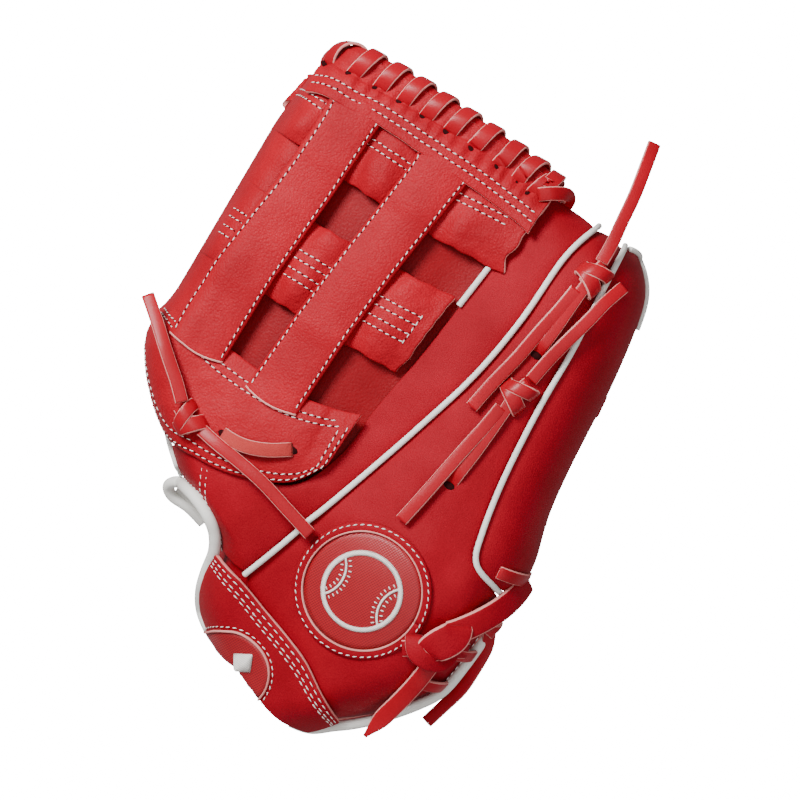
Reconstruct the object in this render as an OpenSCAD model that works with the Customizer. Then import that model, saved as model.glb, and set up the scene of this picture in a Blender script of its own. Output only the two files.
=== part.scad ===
// A first-base style mitt for the left hand, lying on its finger backs with the thumb half above.
// X runs across to the outside of the thumb, Y to the finger tips and Z up. The origin is on the
// rest plane, under the middle of the mitt. Sizes are in millimetres.

/* [Overall] */
// Length from the heel to the top of the web
mitt_length = 303; // [255:1:365]
// Width from the web fold to the outside of the thumb
mitt_width = 223; // [186:1:268]
// Height of the thumb crown above the rest face
crown_height = 112; // [108:1:135]
// Height that the finger half rises at the web fold
finger_rise = 48; // [40:1:50]

/* [Leather] */
// Thickness of one leather panel
leather_t = 2.6; // [2:0.1:3.2]
// Thickness of a palm pad
palm_t = 8; // [5:0.5:10]
// Room for the thumb inside its stall
thumb_room = 18; // [14:0.5:22]
// Room for the fingers inside their stalls
finger_room = 15; // [12:0.5:18]
// Gap between neighbouring layers
layer_gap = 0.2; // [0.1:0.05:0.4]

/* [Laces and trim] */
// Width of a lace
lace_w = 6.4; // [5:0.1:8]
// Thickness of a lace
lace_t = 2.6; // [2:0.1:3.2]
// Diameter of the white piping
piping_d = 3.2; // [2:0.1:4]
// Width of the rolled binding on the web top
web_binding_w = 17; // [12:0.5:20]
// Loops of whip lace along the web top
web_loops = 10; // [6:1:12]
// Diameter of the round thumb badge
badge_d = 57; // [45:1:66]
// Diameter of the strap badge
strap_badge_d = 38; // [30:1:44]
// Width of a web post at its middle
post_w = 29; // [22:0.5:32]

/* [Hidden] */
$fn = 48;

red = "firebrick";
dark = "darkred";
white = "ivory";

// The plan is drawn on a mitt of these sizes, about the middle of its thumb side.
plan_length = 303;
plan_width = 223;
plan_shift = [13.6, 10.9, 0];
wide = mitt_width / plan_width;
long = mitt_length / plan_length;

function mix(a, b, t) = a + (b - a) * t;
function ramp(v, a, b) = let (t = min(1, max(0, (v - a) / (b - a)))) t * t * (3 - 2 * t);
// Drop of a quarter-round shoulder of height h, x from 0 at its start to 1 at its foot
function roll(x, h) = let (s = min(0.985, max(0, x))) h * (1 - sqrt(1 - s * s));
// Smooth curve through points, q from 0 at the first to 1 at the last
function spline(p, q) =
    let (n = len(p) - 1, s = min(n - 0.0001, max(0, q * n)), i = floor(s), f = s - i,
        a = p[max(0, i - 1)], b = p[i], c = p[i + 1], d = p[min(n, i + 2)])
    0.5 * (2 * b + (c - a) * f + (2 * a - 5 * b + 4 * c - d) * f * f + (3 * b - a - 3 * c + d) * f * f * f);
function lerp_table(v, table) =
    (lookup(v - 6, table) + lookup(v - 2, table) + lookup(v + 2, table) + lookup(v + 6, table)) / 4;

// Plan outline of the thumb half: how far it reaches across at each place along the length
left_outline = [[-150, -22], [-144, -28], [-127, -41], [-106, -43], [-99, -50], [-93, -60], [-89, -74],
    [-76, -88], [-64, -101], [-55, -111], [-43, -120], [-26, -124], [-12, -120], [90, -119], [140, -112]];
right_outline = [[-168, 40], [-153, 56], [-142, 70], [-117, 90], [-105, 93], [-61, 95], [-36, 98],
    [-20, 92], [20, 88], [60, 86], [93, 82], [103, 80], [112, 75], [119, 68], [126, 54]];

// Shape of the thumb half's outer skin
web_fall = 12;
thumb_fall = 14;
heel_fall = 34;
left_roll = [19, 42];
right_roll = [34, 46];
tip_start = 92;
tip_run = 31;

function skin_height(x, y) =
    let (thumb = ramp(x, 0, 35))
    crown_height - thumb_fall * ramp(-x, -50, 15) - web_fall * ramp(-x, 15, 105)
    - roll((x - lerp_table(y, right_outline) + right_roll[0]) / right_roll[0], right_roll[1])
    - roll((lerp_table(y, left_outline) + left_roll[0] - x) / left_roll[0], left_roll[1])
    - roll((y - tip_start) / tip_run, 5 + 23 * thumb) * mix(0.35, 1, thumb)
    - heel_fall * ramp(-y, 55, 175);

// A point of the plan, lifted to stand `lift` off the thumb half's outer skin
function on_thumb(p, lift) =
    let (e = 0.5, z = skin_height(p.x, p.y),
        slope_x = (skin_height(p.x + e, p.y) - skin_height(p.x - e, p.y)) / (2 * e * wide),
        slope_y = (skin_height(p.x, p.y + e) - skin_height(p.x, p.y - e)) / (2 * e * long),
        n = [-slope_x, -slope_y, 1])
    [p.x * wide, p.y * long, z] + n / norm(n) * lift;

// Outline of the finger half, from the tips to the heel
finger_left = [[-112, 104], [-117, 80], [-118, 50], [-118, 20], [-118, -10], [-117, -34], [-106, -54],
    [-90, -68], [-74, -86], [-48, -102], [-38, -122], [-26, -140]];
finger_right = [[66, 100], [78, 82], [84, 55], [85, 25], [86, -5], [90, -36], [91, -58],
    [90, -78], [89, -98], [84, -118], [66, -140], [36, -158]];
finger_side_rise = 36;
finger_tip_rise = 28;
finger_heel_rise = 22;
// Share of the side rises that is left out at the heel, so that the hand can get in
finger_heel_flare = 0.6;
finger_bow = 30;

function finger_height(u, v) =
    let (open = 1 - finger_heel_flare * ramp(v, 0.85, 1), top = 60,
        s = roll((0.24 - u) / 0.24, finger_rise) * open + roll((u - 0.74) / 0.26, finger_side_rise) * open
        + roll((0.14 - v) / 0.14, finger_tip_rise) + finger_heel_rise * ramp(v, 0.72, 1))
    top * (1 - exp(-s / top));
// A point of the finger half: u across from the web fold, v along from the tips, lift upwards
function on_fingers(u, v, lift) =
    let (a = spline(finger_left, v), b = spline(finger_right, v), p = mix(a, b, u),
        bow = finger_bow * pow(max(0, sin(180 * u)), 0.8) * pow(1 - v, 3))
    [p.x * wide, (p.y + bow) * long, finger_height(u, v) + lift];

module place() translate(plan_shift) children();

// A closed slab between an upper and a lower grid of points: upper(u, v) and lower(u, v)
module slab(upper, lower, nu, nv) {
    row = nu + 1;
    count = row * (nv + 1);
    points = [
        for (j = [0:nv], i = [0:nu]) upper(i / nu, j / nv),
        for (j = [0:nv], i = [0:nu]) lower(i / nu, j / nv)
    ];
    rim = [
        for (i = [0:nu - 1]) i,
        for (j = [0:nv - 1]) j * row + nu,
        for (i = [nu:-1:1]) nv * row + i,
        for (j = [nv:-1:1]) j * row
    ];
    skin = [for (j = [0:nv - 1], i = [0:nu - 1]) let (a = j * row + i) each [
        [a, a + 1, a + row + 1], [a, a + row + 1, a + row],
        [count + a, count + a + row + 1, count + a + 1],
        [count + a, count + a + row, count + a + row + 1]
    ]];
    walls = [for (k = [0:len(rim) - 1]) let (p = rim[k], q = rim[(k + 1) % len(rim)]) each [
        [q, p, p + count], [q, p + count, q + count]
    ]];
    polyhedron(points, concat(skin, walls));
}

// A panel of the thumb half between two plan curves, from `low` to `high` off the outer skin
module panel(left, right, low, high, nu, nv, from = 0, to = 1)
    slab(
        function (u, v) on_thumb(across(left, right, u, mix(from, to, v)), high),
        function (u, v) on_thumb(across(left, right, u, mix(from, to, v)), low),
        nu, nv
    );
function across(left, right, u, v) = mix(spline(left, v), spline(right, v), u);

// A flat or round strand swept along points; `up` faces its flat side
module strand(points, w, t, sides = 8, up = [0, 0, 1]) {
    n = len(points);
    rings = [for (i = [0:n - 1])
        let (d = points[min(n - 1, i + 1)] - points[max(0, i - 1)],
            s = cross(d, up) / norm(cross(d, up)), f = cross(s, d) / norm(d))
        for (k = [0:sides - 1]) let (a = 360 * (k + 0.5) / sides)
            points[i] + s * cos(a) * w / 2 + f * sin(a) * t / 2];
    walls = [for (i = [0:n - 2], k = [0:sides - 1])
        let (a = i * sides + k, b = i * sides + (k + 1) % sides) each [
            [a, b, b + sides], [a, b + sides, a + sides]
        ]];
    polyhedron(rings, concat(walls, [
        [for (k = [sides - 1:-1:0]) k],
        [for (k = [0:sides - 1]) (n - 1) * sides + k]
    ]));
}
function along_skin(curve, lift, steps) = [for (i = [0:steps]) on_thumb(spline(curve, i / steps), lift)];

// A round disc lying on the thumb half's skin at a plan point
module on_skin_disc(centre, r, low, high, rings = 4, steps = 40) {
    // Rings of the disc's upper and lower faces follow the skin
    function at(k, a) = centre + r * k * [cos(a) / wide, sin(a) / long];
    count = rings * steps + 1;
    points = [for (lift = [high, low]) each concat(
        [on_thumb(centre, lift)],
        [for (k = [1:rings], i = [0:steps - 1]) on_thumb(at(k / rings, -360 * i / steps), lift)]
    )];
    function id(k, i) = 1 + (k - 1) * steps + i % steps;
    faces = [
        for (i = [0:steps - 1]) each [[0, id(1, i), id(1, i + 1)],
            [count, count + id(1, i + 1), count + id(1, i)]],
        for (k = [1:rings - 1], i = [0:steps - 1])
            let (a = id(k, i), b = id(k, i + 1), c = id(k + 1, i + 1), d = id(k + 1, i)) each [
                [a, d, c], [a, c, b], [count + a, count + c, count + d], [count + a, count + b, count + c]
            ],
        for (i = [0:steps - 1]) let (a = id(rings, i), b = id(rings, i + 1)) each [
            [b, a, count + a], [b, count + a, count + b]
        ]
    ];
    polyhedron(points, faces);
}

// Plan curves of the thumb half's seams
inner_edge = [[13, 121], [8, 95], [3, 60], [-2, 25], [-8, -8], [-12, -38], [-26, -62], [-60, -71],
    [-86, -75], [-75, -87], [-59, -92], [-43, -106]];
inner_seam = [[41, 120], [34, 98], [31, 62], [25, 28], [14, -8], [3, -40], [-5, -62], [-9, -72],
    [-11.5, -80], [-15, -90], [-18, -98], [-23, -111]];
center_left = [[41, 120], [34, 98], [31, 62], [25, 28], [14, -8], [3, -40], [-4, -60], [-9, -74],
    [-14, -88], [-19, -102], [-20, -116], [8, -131], [40, -150]];
center_right = [[57, 119], [57, 98], [59, 62], [59, 30], [61, -6], [65, -34], [70, -49], [84, -55],
    [93.5, -66], [92.5, -90], [89.5, -114], [71, -138], [52, -152]];
outer_seam = [[57, 119], [57, 98], [59, 62], [59, 30], [61, -6], [65, -34], [70, -49], [84, -55]];
outer_edge = [[66, 118], [79, 101], [85.5, 62], [87.5, 30], [90, -6], [96.5, -34], [97, -46], [95, -54]];
strap_top = [[-38, -108], [-22, -113], [-6, -119], [11, -125], [25, -131], [38, -140], [51, -148]];
strap_foot = [[-35, -134], [-26, -143], [-13, -150], [1, -155], [13, -160], [26, -163], [40, -161]];
seam_half = 0.8;

function shifted(curve, dx) = [for (p = curve) [p.x + dx, p.y]];

module thumb_inner_panel() color(red) place()
    panel(inner_edge, shifted(inner_seam, -seam_half), -leather_t, 0, 7, 22);
module thumb_center_panel() color(red) place()
    panel(shifted(center_left, seam_half), shifted(center_right, -seam_half), -leather_t, 0, 8, 26);
module thumb_outer_panel() color(red) place() slab(
    function (u, v) on_thumb(across(shifted(outer_seam, seam_half), outer_edge, sin(90 * u), v), 0),
    function (u, v) on_thumb(across(shifted(outer_seam, seam_half), outer_edge, sin(90 * u), v), -leather_t),
    7, 20
);

// The stall is the room between the outer panels and the palm pad; it closes at its edges and tip
pad_left = [[-12, 112], [-16, 90], [-20, 50], [-22, 20], [-24, -10], [-24, -36], [-24, -60], [-26, -86]];
pad_right = [[60, 112], [70, 95], [76, 60], [78, 28], [80, -6], [84, -34], [83, -60], [80, -86]];
function stall_depth(u, v) = thumb_room * pow(max(0, sin(180 * u)), 0.45) * ramp(v, 0, 0.18);
function pad_lift(u, v) = -leather_t - 3 * layer_gap - stall_depth(u, v);
module thumb_palm_pad() color(dark) place() slab(
    function (u, v) under_skin(across(pad_left, pad_right, u, v), pad_lift(u, v) - 5),
    function (u, v) under_skin(across(pad_left, pad_right, u, v), pad_lift(u, v) - 5 - palm_t),
    10, 18
);
// Straight down from the skin, for what lies deep below it
function under_skin(p, lift) = [p.x * wide, p.y * long, max(skin_height(p.x, p.y), crown_height - 42) + lift];
lining_t = 1.2;
module thumb_stall_lining() color("dimgray") place() slab(
    function (u, v) under_skin(across(pad_left, pad_right, mix(0.2, 0.8, u), mix(0.25, 0.95, v)),
        pad_lift(mix(0.2, 0.8, u), mix(0.25, 0.95, v)) - 5 + layer_gap + lining_t),
    function (u, v) under_skin(across(pad_left, pad_right, mix(0.2, 0.8, u), mix(0.25, 0.95, v)),
        pad_lift(mix(0.2, 0.8, u), mix(0.25, 0.95, v)) - 5 + layer_gap),
    6, 12
);

piping_lift = piping_d / 2 + 0.3;
module piping_inner() color(white) place()
    strand(along_skin(inner_seam, piping_lift, 34), piping_d, piping_d, 8);
piping_outer_route = concat(outer_seam, [[92, -57]]);
module piping_outer() color(white) place()
    strand(along_skin(piping_outer_route, piping_lift, 34), piping_d, piping_d, 8);
edge_inset = 0.97;
edge_route = concat(
    [for (i = [2:8]) across(outer_seam, outer_edge, edge_inset * sin(90 * i / 8), 0.01)],
    [for (i = [1:5]) across(outer_seam, outer_edge, edge_inset, 0.01 + 0.035 * i)]
);
module thumb_edge_piping() color(white) place()
    strand(along_skin(edge_route, piping_lift, 28), piping_d, piping_d, 8);

badge_at = [30, -88];
module thumb_badge() color("crimson") place() on_skin_disc(badge_at, badge_d / 2, layer_gap, 2);
emblem_t = 1;
module badge_emblem() color(white) place() {
    // A ring and two curved seams, like the face of a ball
    difference_ring(badge_at, badge_d * 0.36, badge_d * 0.31);
}
module difference_ring(centre, outer_r, inner_r, steps = 40) {
    function ring(r, lift) = [for (i = [0:steps - 1]) on_thumb(centre + r * [cos(-360 * i / steps) / wide,
        sin(-360 * i / steps) / long], lift)];
    low = 2 + layer_gap / 2;
    points = concat(ring(outer_r, low + emblem_t), ring(inner_r, low + emblem_t), ring(inner_r, low),
        ring(outer_r, low));
    faces = [for (b = [0:3], i = [0:steps - 1])
        let (p = b * steps + i, q = b * steps + (i + 1) % steps, r = ((b + 1) % 4) * steps + (i + 1) % steps,
            s = ((b + 1) % 4) * steps + i) each [[p, q, r], [p, r, s]]];
    polyhedron(points, faces);
}

// Web: a back panel, straps and base pad on it, and two posts over them
web_low = layer_gap;
web_high = layer_gap + leather_t;
post_low = web_high + 5 * layer_gap;
post_high = post_low + leather_t;
// The back panel lies under the thumb panels
back_t = 2.4;
back_high = -leather_t - 3 * layer_gap;
back_low = back_high - back_t;
module web_back_panel() color(dark) place() slab(
    function (u, v) on_thumb(web_plan(u, v), back_high),
    function (u, v) on_thumb(web_plan(u, v), back_low),
    12, 16
);
// Across from the thumb panel to the fold, close together round the fold
function web_plan(u, v) = let (y = mix(131, -48, v),
    right = lookup(y, [[-50, -28], [0, -16], [60, -6], [131, 4]]),
    left = lerp_table(y, left_outline) + 0.6)
    [mix(left, right, 1 - sin(90 * (1 - u))), y];
module web_strap(left_top, left_foot, right_top, right_foot, bend = 0) slab(
    function (u, v) on_thumb(strap_plan(left_top, left_foot, right_top, right_foot, u, v, bend), web_high),
    function (u, v) on_thumb(strap_plan(left_top, left_foot, right_top, right_foot, u, v, bend), web_low),
    14, 4
);
function strap_plan(lt, lf, rt, rf, u, v, bend) =
    let (s = 1 - sin(90 * (1 - u)), a = mix(lt, rt, s), b = mix(lf, rf, s)) mix(a, b, v) + [0,
        bend * sin(180 * s)];
module web_top_strap() color(red) place()
    web_strap([-117, 116], [-118.4, 88], [14, 109.5], [12, 77], -4);
module web_middle_strap() color(red) place()
    web_strap([-118.4, 58], [-118.6, 16], [-2, 54], [-8, 10], -2);
base_top = [[-122, -15], [-104, -17], [-84, -19], [-64, -21], [-44, -22], [-26, -19], [-12, -15]];
base_foot = [[-121, -38], [-108, -55], [-90, -70], [-66, -73], [-44, -69], [-25, -60], [-14, -44]];
// The base pad puffs up below the posts, from this share of its depth
base_flat = 1 / 3;
base_puff = 2;
module web_base_pad() color(red) place() slab(
    function (u, v) on_thumb(mix(spline(base_top, u), spline(base_foot, u), v),
        web_high + base_puff * sin(180 * max(0, v - base_flat) / (1 - base_flat))),
    function (u, v) on_thumb(mix(spline(base_top, u), spline(base_foot, u), v), web_low),
    14, 6
);
post_left_line = [[-86.5, 115], [-86.5, 108], [-90, 60], [-94, 15], [-96, -27]];
post_right_line = [[-37, 113], [-37.5, 100], [-44, 55], [-49, 12], [-52.5, -31]];
module web_post(line) slab(
    function (u, v) on_thumb(spline(line, v) + [mix(-post_w, post_w, u) / 2 / wide * post_shape(v),
        -2 * v * sin(180 * u)],
        post_high),
    function (u, v) on_thumb(spline(line, v) + [mix(-post_w, post_w, u) / 2 / wide * post_shape(v),
        -2 * v * sin(180 * u)],
        post_low),
    5, 16
);
function post_shape(v) = 1 + 0.1 * (1 - ramp(v, 0, 0.3)) - 0.06 * sin(180 * v);
module web_post_left() color(red) place() web_post(post_left_line);
module web_post_right() color(red) place() web_post(post_right_line);

web_top_line = [[-112, 127], [-100, 131], [-75, 131.5], [-50, 129.5], [-25, 127.5], [0, 124.5], [14, 121]];
binding_low = post_high + layer_gap;
module web_top_binding() color(red) place() strand(
    [for (i = [0:20]) on_thumb(spline(web_top_line, i / 20) + [0, 1], binding_low - 2.2)],
    web_binding_w * 0.7, 6, 10
);
// A loop goes round the binding, out of a hole below it, with room for the binding's own size
loop_reach = web_binding_w * 0.35 + 4.25;
loop_run = 9.3;
module web_whip_lace() color("red") place()
    for (i = [0:web_loops - 1]) {
        p = spline(web_top_line, mix(0.14, 0.96, i / (web_loops - 1)));
        strand([for (a = [-50:25:230])
            on_thumb(p + [-loop_run / 3 / wide + a / 280 * loop_run / wide,
                1 - loop_reach / long * cos(a + 20)],
                binding_low - 2.2 + 6.7 * sin(a + 20))],
            lace_w, 2, 8, [0.2, 0.3, 1]);
    }
web_base_lace_route = [[-60, -57.5], [-48, -54], [-36, -49.5]];
module web_base_lace() color("indianred") place()
    strand(along_skin(web_base_lace_route, web_high + 2 + lace_t / 2, 6), lace_w, lace_t, 8);
// Loops between the web fold and the index finger, all on the thumb half
side_loops = 8;
module web_side_lace() color("red") place()
    for (i = [0:side_loops - 1]) {
        y = mix(80, -8, i / (side_loops - 1));
        x = lerp_table(y, left_outline);
        strand([for (k = [0:4]) [(x - 3.5) * wide, (y - 2 * k / 4) * long,
            crown_height - mix(50, 68, k / 4)]],
            lace_w, 2, 8, [1, 0, 0]);
    }

// A knot: two crossed turns of lace
module knot(at, lift, turn) {
    c = on_thumb(at, lift);
    translate(c) rotate([0, 0, turn]) {
        difference() {
            scale([1, 1, 1]) rotate([0, 90, 0]) cylinder(h = 13, d = 9, center = true);
            translate([0, 0, -9.4]) cube([40, 40, 10], center = true);
        }
    }
}
knot_lift = 4.6;
module tip_knot() color("red") place() knot([50, 96], knot_lift, 70);
module thumb_knot() color("red") place() knot([46.5, 30.5], knot_lift, 70);
module web_knot() color("red") place() knot([-82.5, -59.5], knot_lift + 5.4, -20);
module heel_knot() color("red") place() knot([70, -84], knot_lift + 1.6, 0);
heel_tie_route = [[83.5, -63], [81.5, -67], [79, -71], [76, -75]];
heel_tie_lift = 5.4;
module heel_tie() color("red") place()
    strand(along_skin(heel_tie_route, heel_tie_lift, 6), 10, lace_t, 8);
heel_points = [[94.5, -47], [92.2, -88], [89.6, -106]];
module heel_lace() color("red") place()
    for (p = heel_points) strand([for (k = [0:4]) on_thumb([p.x - 7 + 1.6 * k, p.y + k], 2)], lace_w,
        lace_t, 8);

heel_binding_route = [[92, -113], [86, -124], [73, -141], [63, -150], [54, -156]];
heel_binding_d = 5;
module heel_binding() color(white) place()
    strand([for (i = [0:14]) on_thumb(spline(heel_binding_route, i / 14), 0) - [0, 0, 3.4]],
        heel_binding_d, heel_binding_d, 8);
opening_route = [[-45.5, -112], [-47, -106], [-52, -101], [-63, -95], [-77, -90], [-84, -84], [-91, -77]];
opening_binding_d = 6;
module back_opening_binding() color(white) place()
    strand([for (i = [0:20]) on_thumb(spline(opening_route, i / 20), 0) - [0, 0, 4]],
        opening_binding_d, opening_binding_d, 8);

strap_low = 1.6;
strap_t = 3.4;
strap_drop = 8;
function strap_at(u, v) = across(strap_top, strap_foot, v, u);
function strap_point(u, v, lift) =
    on_thumb(strap_at(u, v), strap_low + lift) - [0, 0,
        strap_drop * (1 - cos(90 * v)) * (0.25 + 0.75 * sin(180 * u))];
module wrist_strap() color(red) place() slab(
    function (u, v) strap_point(u, v, strap_t),
    function (u, v) strap_point(u, v, 0),
    14, 8
);
strap_badge_at = [0.42, 0.5];
module strap_badge() color("crimson") place() strap_disc(strap_badge_d / 2, strap_t + 0.8, strap_t + 2.2);
module strap_emblem() color(white) place() strap_disc(strap_badge_d / 5, strap_t + 2.5, strap_t + 3.3);
// A disc that lies on the strap, drawn in the strap's own place and cut to its width
module strap_disc(r, low, high, steps = 24) {
    run = 105;
    rise = 36;
    function at(k, i, lift) = strap_point(strap_badge_at[0] + k * r * cos(-360 * i / steps) / run,
        strap_badge_at[1] - k * r * sin(-360 * i / steps) / rise * 0.8, lift);
    count = 2 * steps + 1;
    points = [for (lift = [high, low]) each concat([at(0, 0, lift)],
        [for (k = [0.5, 1], i = [0:steps - 1]) at(k, i, lift)])];
    function id(k, i) = 1 + (k - 1) * steps + i % steps;
    faces = [
        for (i = [0:steps - 1]) let (a = id(1, i), b = id(1, i + 1), c = id(2, i + 1), d = id(2, i)) each [
            [0, a, b], [count, count + b, count + a], [a, d, c], [a, c, b],
            [count + a, count + c, count + d], [count + a, count + b, count + c],
            [c, d, count + d], [c, count + d, count + c]
        ]
    ];
    polyhedron(points, faces);
}
wrist_lining_lift = -leather_t - 3.2;
module wrist_lining() color("dimgray") place() slab(
    function (u, v) strap_point(mix(0.05, 0.95, u), mix(-0.5, 0.96, v), wrist_lining_lift),
    function (u, v) strap_point(mix(0.05, 0.95, u), mix(-0.5, 0.96, v), wrist_lining_lift - lining_t),
    12, 6
);

// Routes of the free lace tails, in the plan frame
tip_tail_up_route = [[50, 104, 114], [50, 114, 112], [49, 126, 109], [48, 140, 106], [46, 154, 103],
    [44, 167, 100]];
tip_tail_down_route = [[46, 87, 115], [44, 75, 114.5], [41, 61, 114], [38, 45, 113.5], [34, 29, 113],
    [31, 14, 112.5]];
thumb_tail_up_route = [[49, 39, 115], [51, 50, 116], [54, 62, 117], [58, 76, 117], [61, 88, 116],
    [65, 99, 112]];
thumb_tail_down_route = [[43, 21, 115], [41, 9, 114.5], [38, -5, 114], [35, -20, 113.5], [32, -35, 113],
    [29, -49, 112]];
web_tail_left_route = [[-90, -53, 98.5], [-97, -46, 98], [-104, -40, 97], [-112, -33, 95], [-120, -26, 91],
    [-131, -17, 85]];
web_tail_right_route = [[-75, -60, 97], [-65, -62, 99.5], [-52, -64, 101], [-37, -67, 102.5],
    [-21, -72, 102.5], [-5, -77, 102]];
heel_tail_route = [[94, -76, 82], [97, -84, 76], [97.5, -96, 71], [97, -108, 66], [94, -120, 61],
    [91, -131, 57]];
heel_tie_tail_route = [[76, -92, 103], [76, -101, 99], [75, -112, 94], [73, -124, 87], [70, -137, 81],
    [67, -150, 77]];
tie_w = 9;
module tail(route, w = lace_w) strand([for (i = [0:9]) spline(route, i / 9)], w, lace_t, 8);
module tip_tail_up() color("red") place() tail(tip_tail_up_route);
module tip_tail_down() color("red") place() tail(tip_tail_down_route);
module thumb_tail_up() color("red") place() tail(thumb_tail_up_route);
module thumb_tail_down() color("red") place() tail(thumb_tail_down_route);
module web_tail_left() color("red") place() tail(web_tail_left_route);
module web_tail_right() color("red") place() tail(web_tail_right_route);
module heel_tail() color("red") place() tail(heel_tail_route);
module heel_tie_tail() color("red") place() tail(heel_tie_tail_route, tie_w);

// Finger half
finger_split = [0, 0.27, 0.5, 0.73, 1];
finger_foot = 0.68;
finger_gap = 0.009;
function finger_u(k, u) = mix(finger_split[k] + (k > 0 ? finger_gap : 0),
    finger_split[k + 1] - (k < 3 ? finger_gap : 0), u);
module finger_panel(k) slab(
    function (u, v) on_fingers(finger_u(k, u), v * finger_foot, leather_t),
    function (u, v) on_fingers(finger_u(k, u), v * finger_foot, 0),
    6, 16
);
module index_panel() color(red) place() finger_panel(0);
module middle_panel() color(red) place() finger_panel(1);
module ring_panel() color(red) place() finger_panel(2);
module little_panel() color(red) place() finger_panel(3);
module finger_heel_panel() color(red) place() slab(
    function (u, v) on_fingers(u, mix(finger_foot + 0.006, 0.98, v), leather_t),
    function (u, v) on_fingers(u, mix(finger_foot + 0.006, 0.98, v), 0),
    16, 8
);
module finger_piping() color(white) place()
    for (k = [1:3]) strand([for (i = [0:18]) on_fingers(finger_split[k], finger_foot * i / 18, 1.3)], 2.4,
        2.4, 6);
module finger_edge_binding() color(white) place()
    strand([for (i = [0:28]) on_fingers(i / 28, 0, 1.3) + [0, 3, 0]], 3.6, 4, 8, [0, 0.2, 1]);

function finger_depth(u, v) = finger_room * pow(max(0, sin(180 * u)), 0.4) * ramp(v, 0, 0.16);
// Room between the finger backs and what lies over them, for the steep sides
pad_clear = 3;
function finger_pad_base(u, v) = leather_t + pad_clear + finger_depth(u, v);
module finger_palm_pad() color(dark) place() slab(
    function (u, v) on_fingers(mix(0.06, 0.94, u), mix(0.05, 0.72, v),
        finger_pad_base(mix(0.06, 0.94, u), v) + palm_t),
    function (u, v) on_fingers(mix(0.06, 0.94, u), mix(0.05, 0.72, v),
        finger_pad_base(mix(0.06, 0.94, u), v)),
    14, 16
);
divider_t = 0.008;
module stall_dividers() color(dark) place()
    for (k = [1:3]) slab(
        function (u, v) on_fingers(finger_split[k] + mix(-divider_t, divider_t, u), mix(0.16, 0.55, v),
            finger_room - 2),
        function (u, v) on_fingers(finger_split[k] + mix(-divider_t, divider_t, u), mix(0.16, 0.55, v),
            leather_t + layer_gap),
        1, 6
    );
module finger_heel_pad() color(dark) place() slab(
    function (u, v) on_fingers(mix(0.7, 0.94, u), mix(0.75, 0.9, v), leather_t + pad_clear + 8),
    function (u, v) on_fingers(mix(0.7, 0.94, u), mix(0.75, 0.9, v), leather_t + pad_clear),
    5, 6
);
module finger_wrist_lining() color("dimgray") place() slab(
    function (u, v) on_fingers(mix(0.15, 0.68, u), mix(0.75, 0.96, v), leather_t + 1.4 + lining_t),
    function (u, v) on_fingers(mix(0.15, 0.68, u), mix(0.75, 0.96, v), leather_t + 1.4),
    8, 6
);
lower_strap_w = 6;
module lower_strap() color(red) place() slab(
    function (u, v) on_fingers(u, mix(0.985, 1, v), lower_strap_w),
    function (u, v) on_fingers(u, mix(0.985, 1, v), 0),
    12, 1
);

thumb_palm_pad();
thumb_stall_lining();
thumb_inner_panel();
thumb_center_panel();
thumb_outer_panel();
piping_inner();
piping_outer();
thumb_edge_piping();
thumb_badge();
badge_emblem();
web_back_panel();
web_top_strap();
web_middle_strap();
web_base_pad();
web_post_left();
web_post_right();
web_top_binding();
web_whip_lace();
web_base_lace();
web_side_lace();
tip_knot();
thumb_knot();
web_knot();
heel_knot();
heel_tie();
heel_lace();
heel_binding();
back_opening_binding();
wrist_strap();
strap_badge();
strap_emblem();
wrist_lining();
tip_tail_up();
tip_tail_down();
thumb_tail_up();
thumb_tail_down();
web_tail_left();
web_tail_right();
heel_tail();
heel_tie_tail();
finger_palm_pad();
index_panel();
middle_panel();
ring_panel();
little_panel();
finger_heel_panel();
finger_piping();
finger_edge_binding();
stall_dividers();
finger_heel_pad();
finger_wrist_lining();
lower_strap();
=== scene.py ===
"""First-base style mitt: leather shells, web, laces, trim and pads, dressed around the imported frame."""

from __future__ import annotations

import logging
from collections.abc import Callable, Sequence
from dataclasses import dataclass
from enum import Enum
from math import atan2, cos, exp, hypot, pi, radians, sin, sqrt

import bmesh
import bpy
from mathutils import Matrix, Vector, noise


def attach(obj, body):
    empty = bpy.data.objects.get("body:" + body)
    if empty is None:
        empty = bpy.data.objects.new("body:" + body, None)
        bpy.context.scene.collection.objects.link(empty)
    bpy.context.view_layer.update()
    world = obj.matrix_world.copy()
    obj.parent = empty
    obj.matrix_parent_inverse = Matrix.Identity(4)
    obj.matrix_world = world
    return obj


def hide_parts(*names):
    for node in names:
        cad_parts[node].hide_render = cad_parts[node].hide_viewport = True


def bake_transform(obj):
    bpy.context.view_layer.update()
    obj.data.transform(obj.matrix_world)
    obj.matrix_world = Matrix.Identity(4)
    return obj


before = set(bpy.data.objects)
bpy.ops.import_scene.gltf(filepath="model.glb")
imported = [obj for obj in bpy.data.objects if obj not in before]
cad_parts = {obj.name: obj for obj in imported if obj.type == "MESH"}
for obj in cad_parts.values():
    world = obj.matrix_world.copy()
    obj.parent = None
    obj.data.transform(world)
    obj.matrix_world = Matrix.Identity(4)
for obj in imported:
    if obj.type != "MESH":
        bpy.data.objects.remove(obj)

LOG = logging.getLogger("mitt")
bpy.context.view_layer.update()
MM = 0.001
# The plan's middle in the frame, as in the design
PLAN_SHIFT = Vector((13.6, 10.9, 0.0))

Curve = Sequence[tuple[float, ...]]
Path = list[tuple[Vector, Vector]]


class Half(Enum):
    """Which body a piece follows."""

    THUMB = "thumb"
    FINGER = "finger"
    FOLD = "fold"


# ---------------------------------------------------------------- finishes


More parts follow.
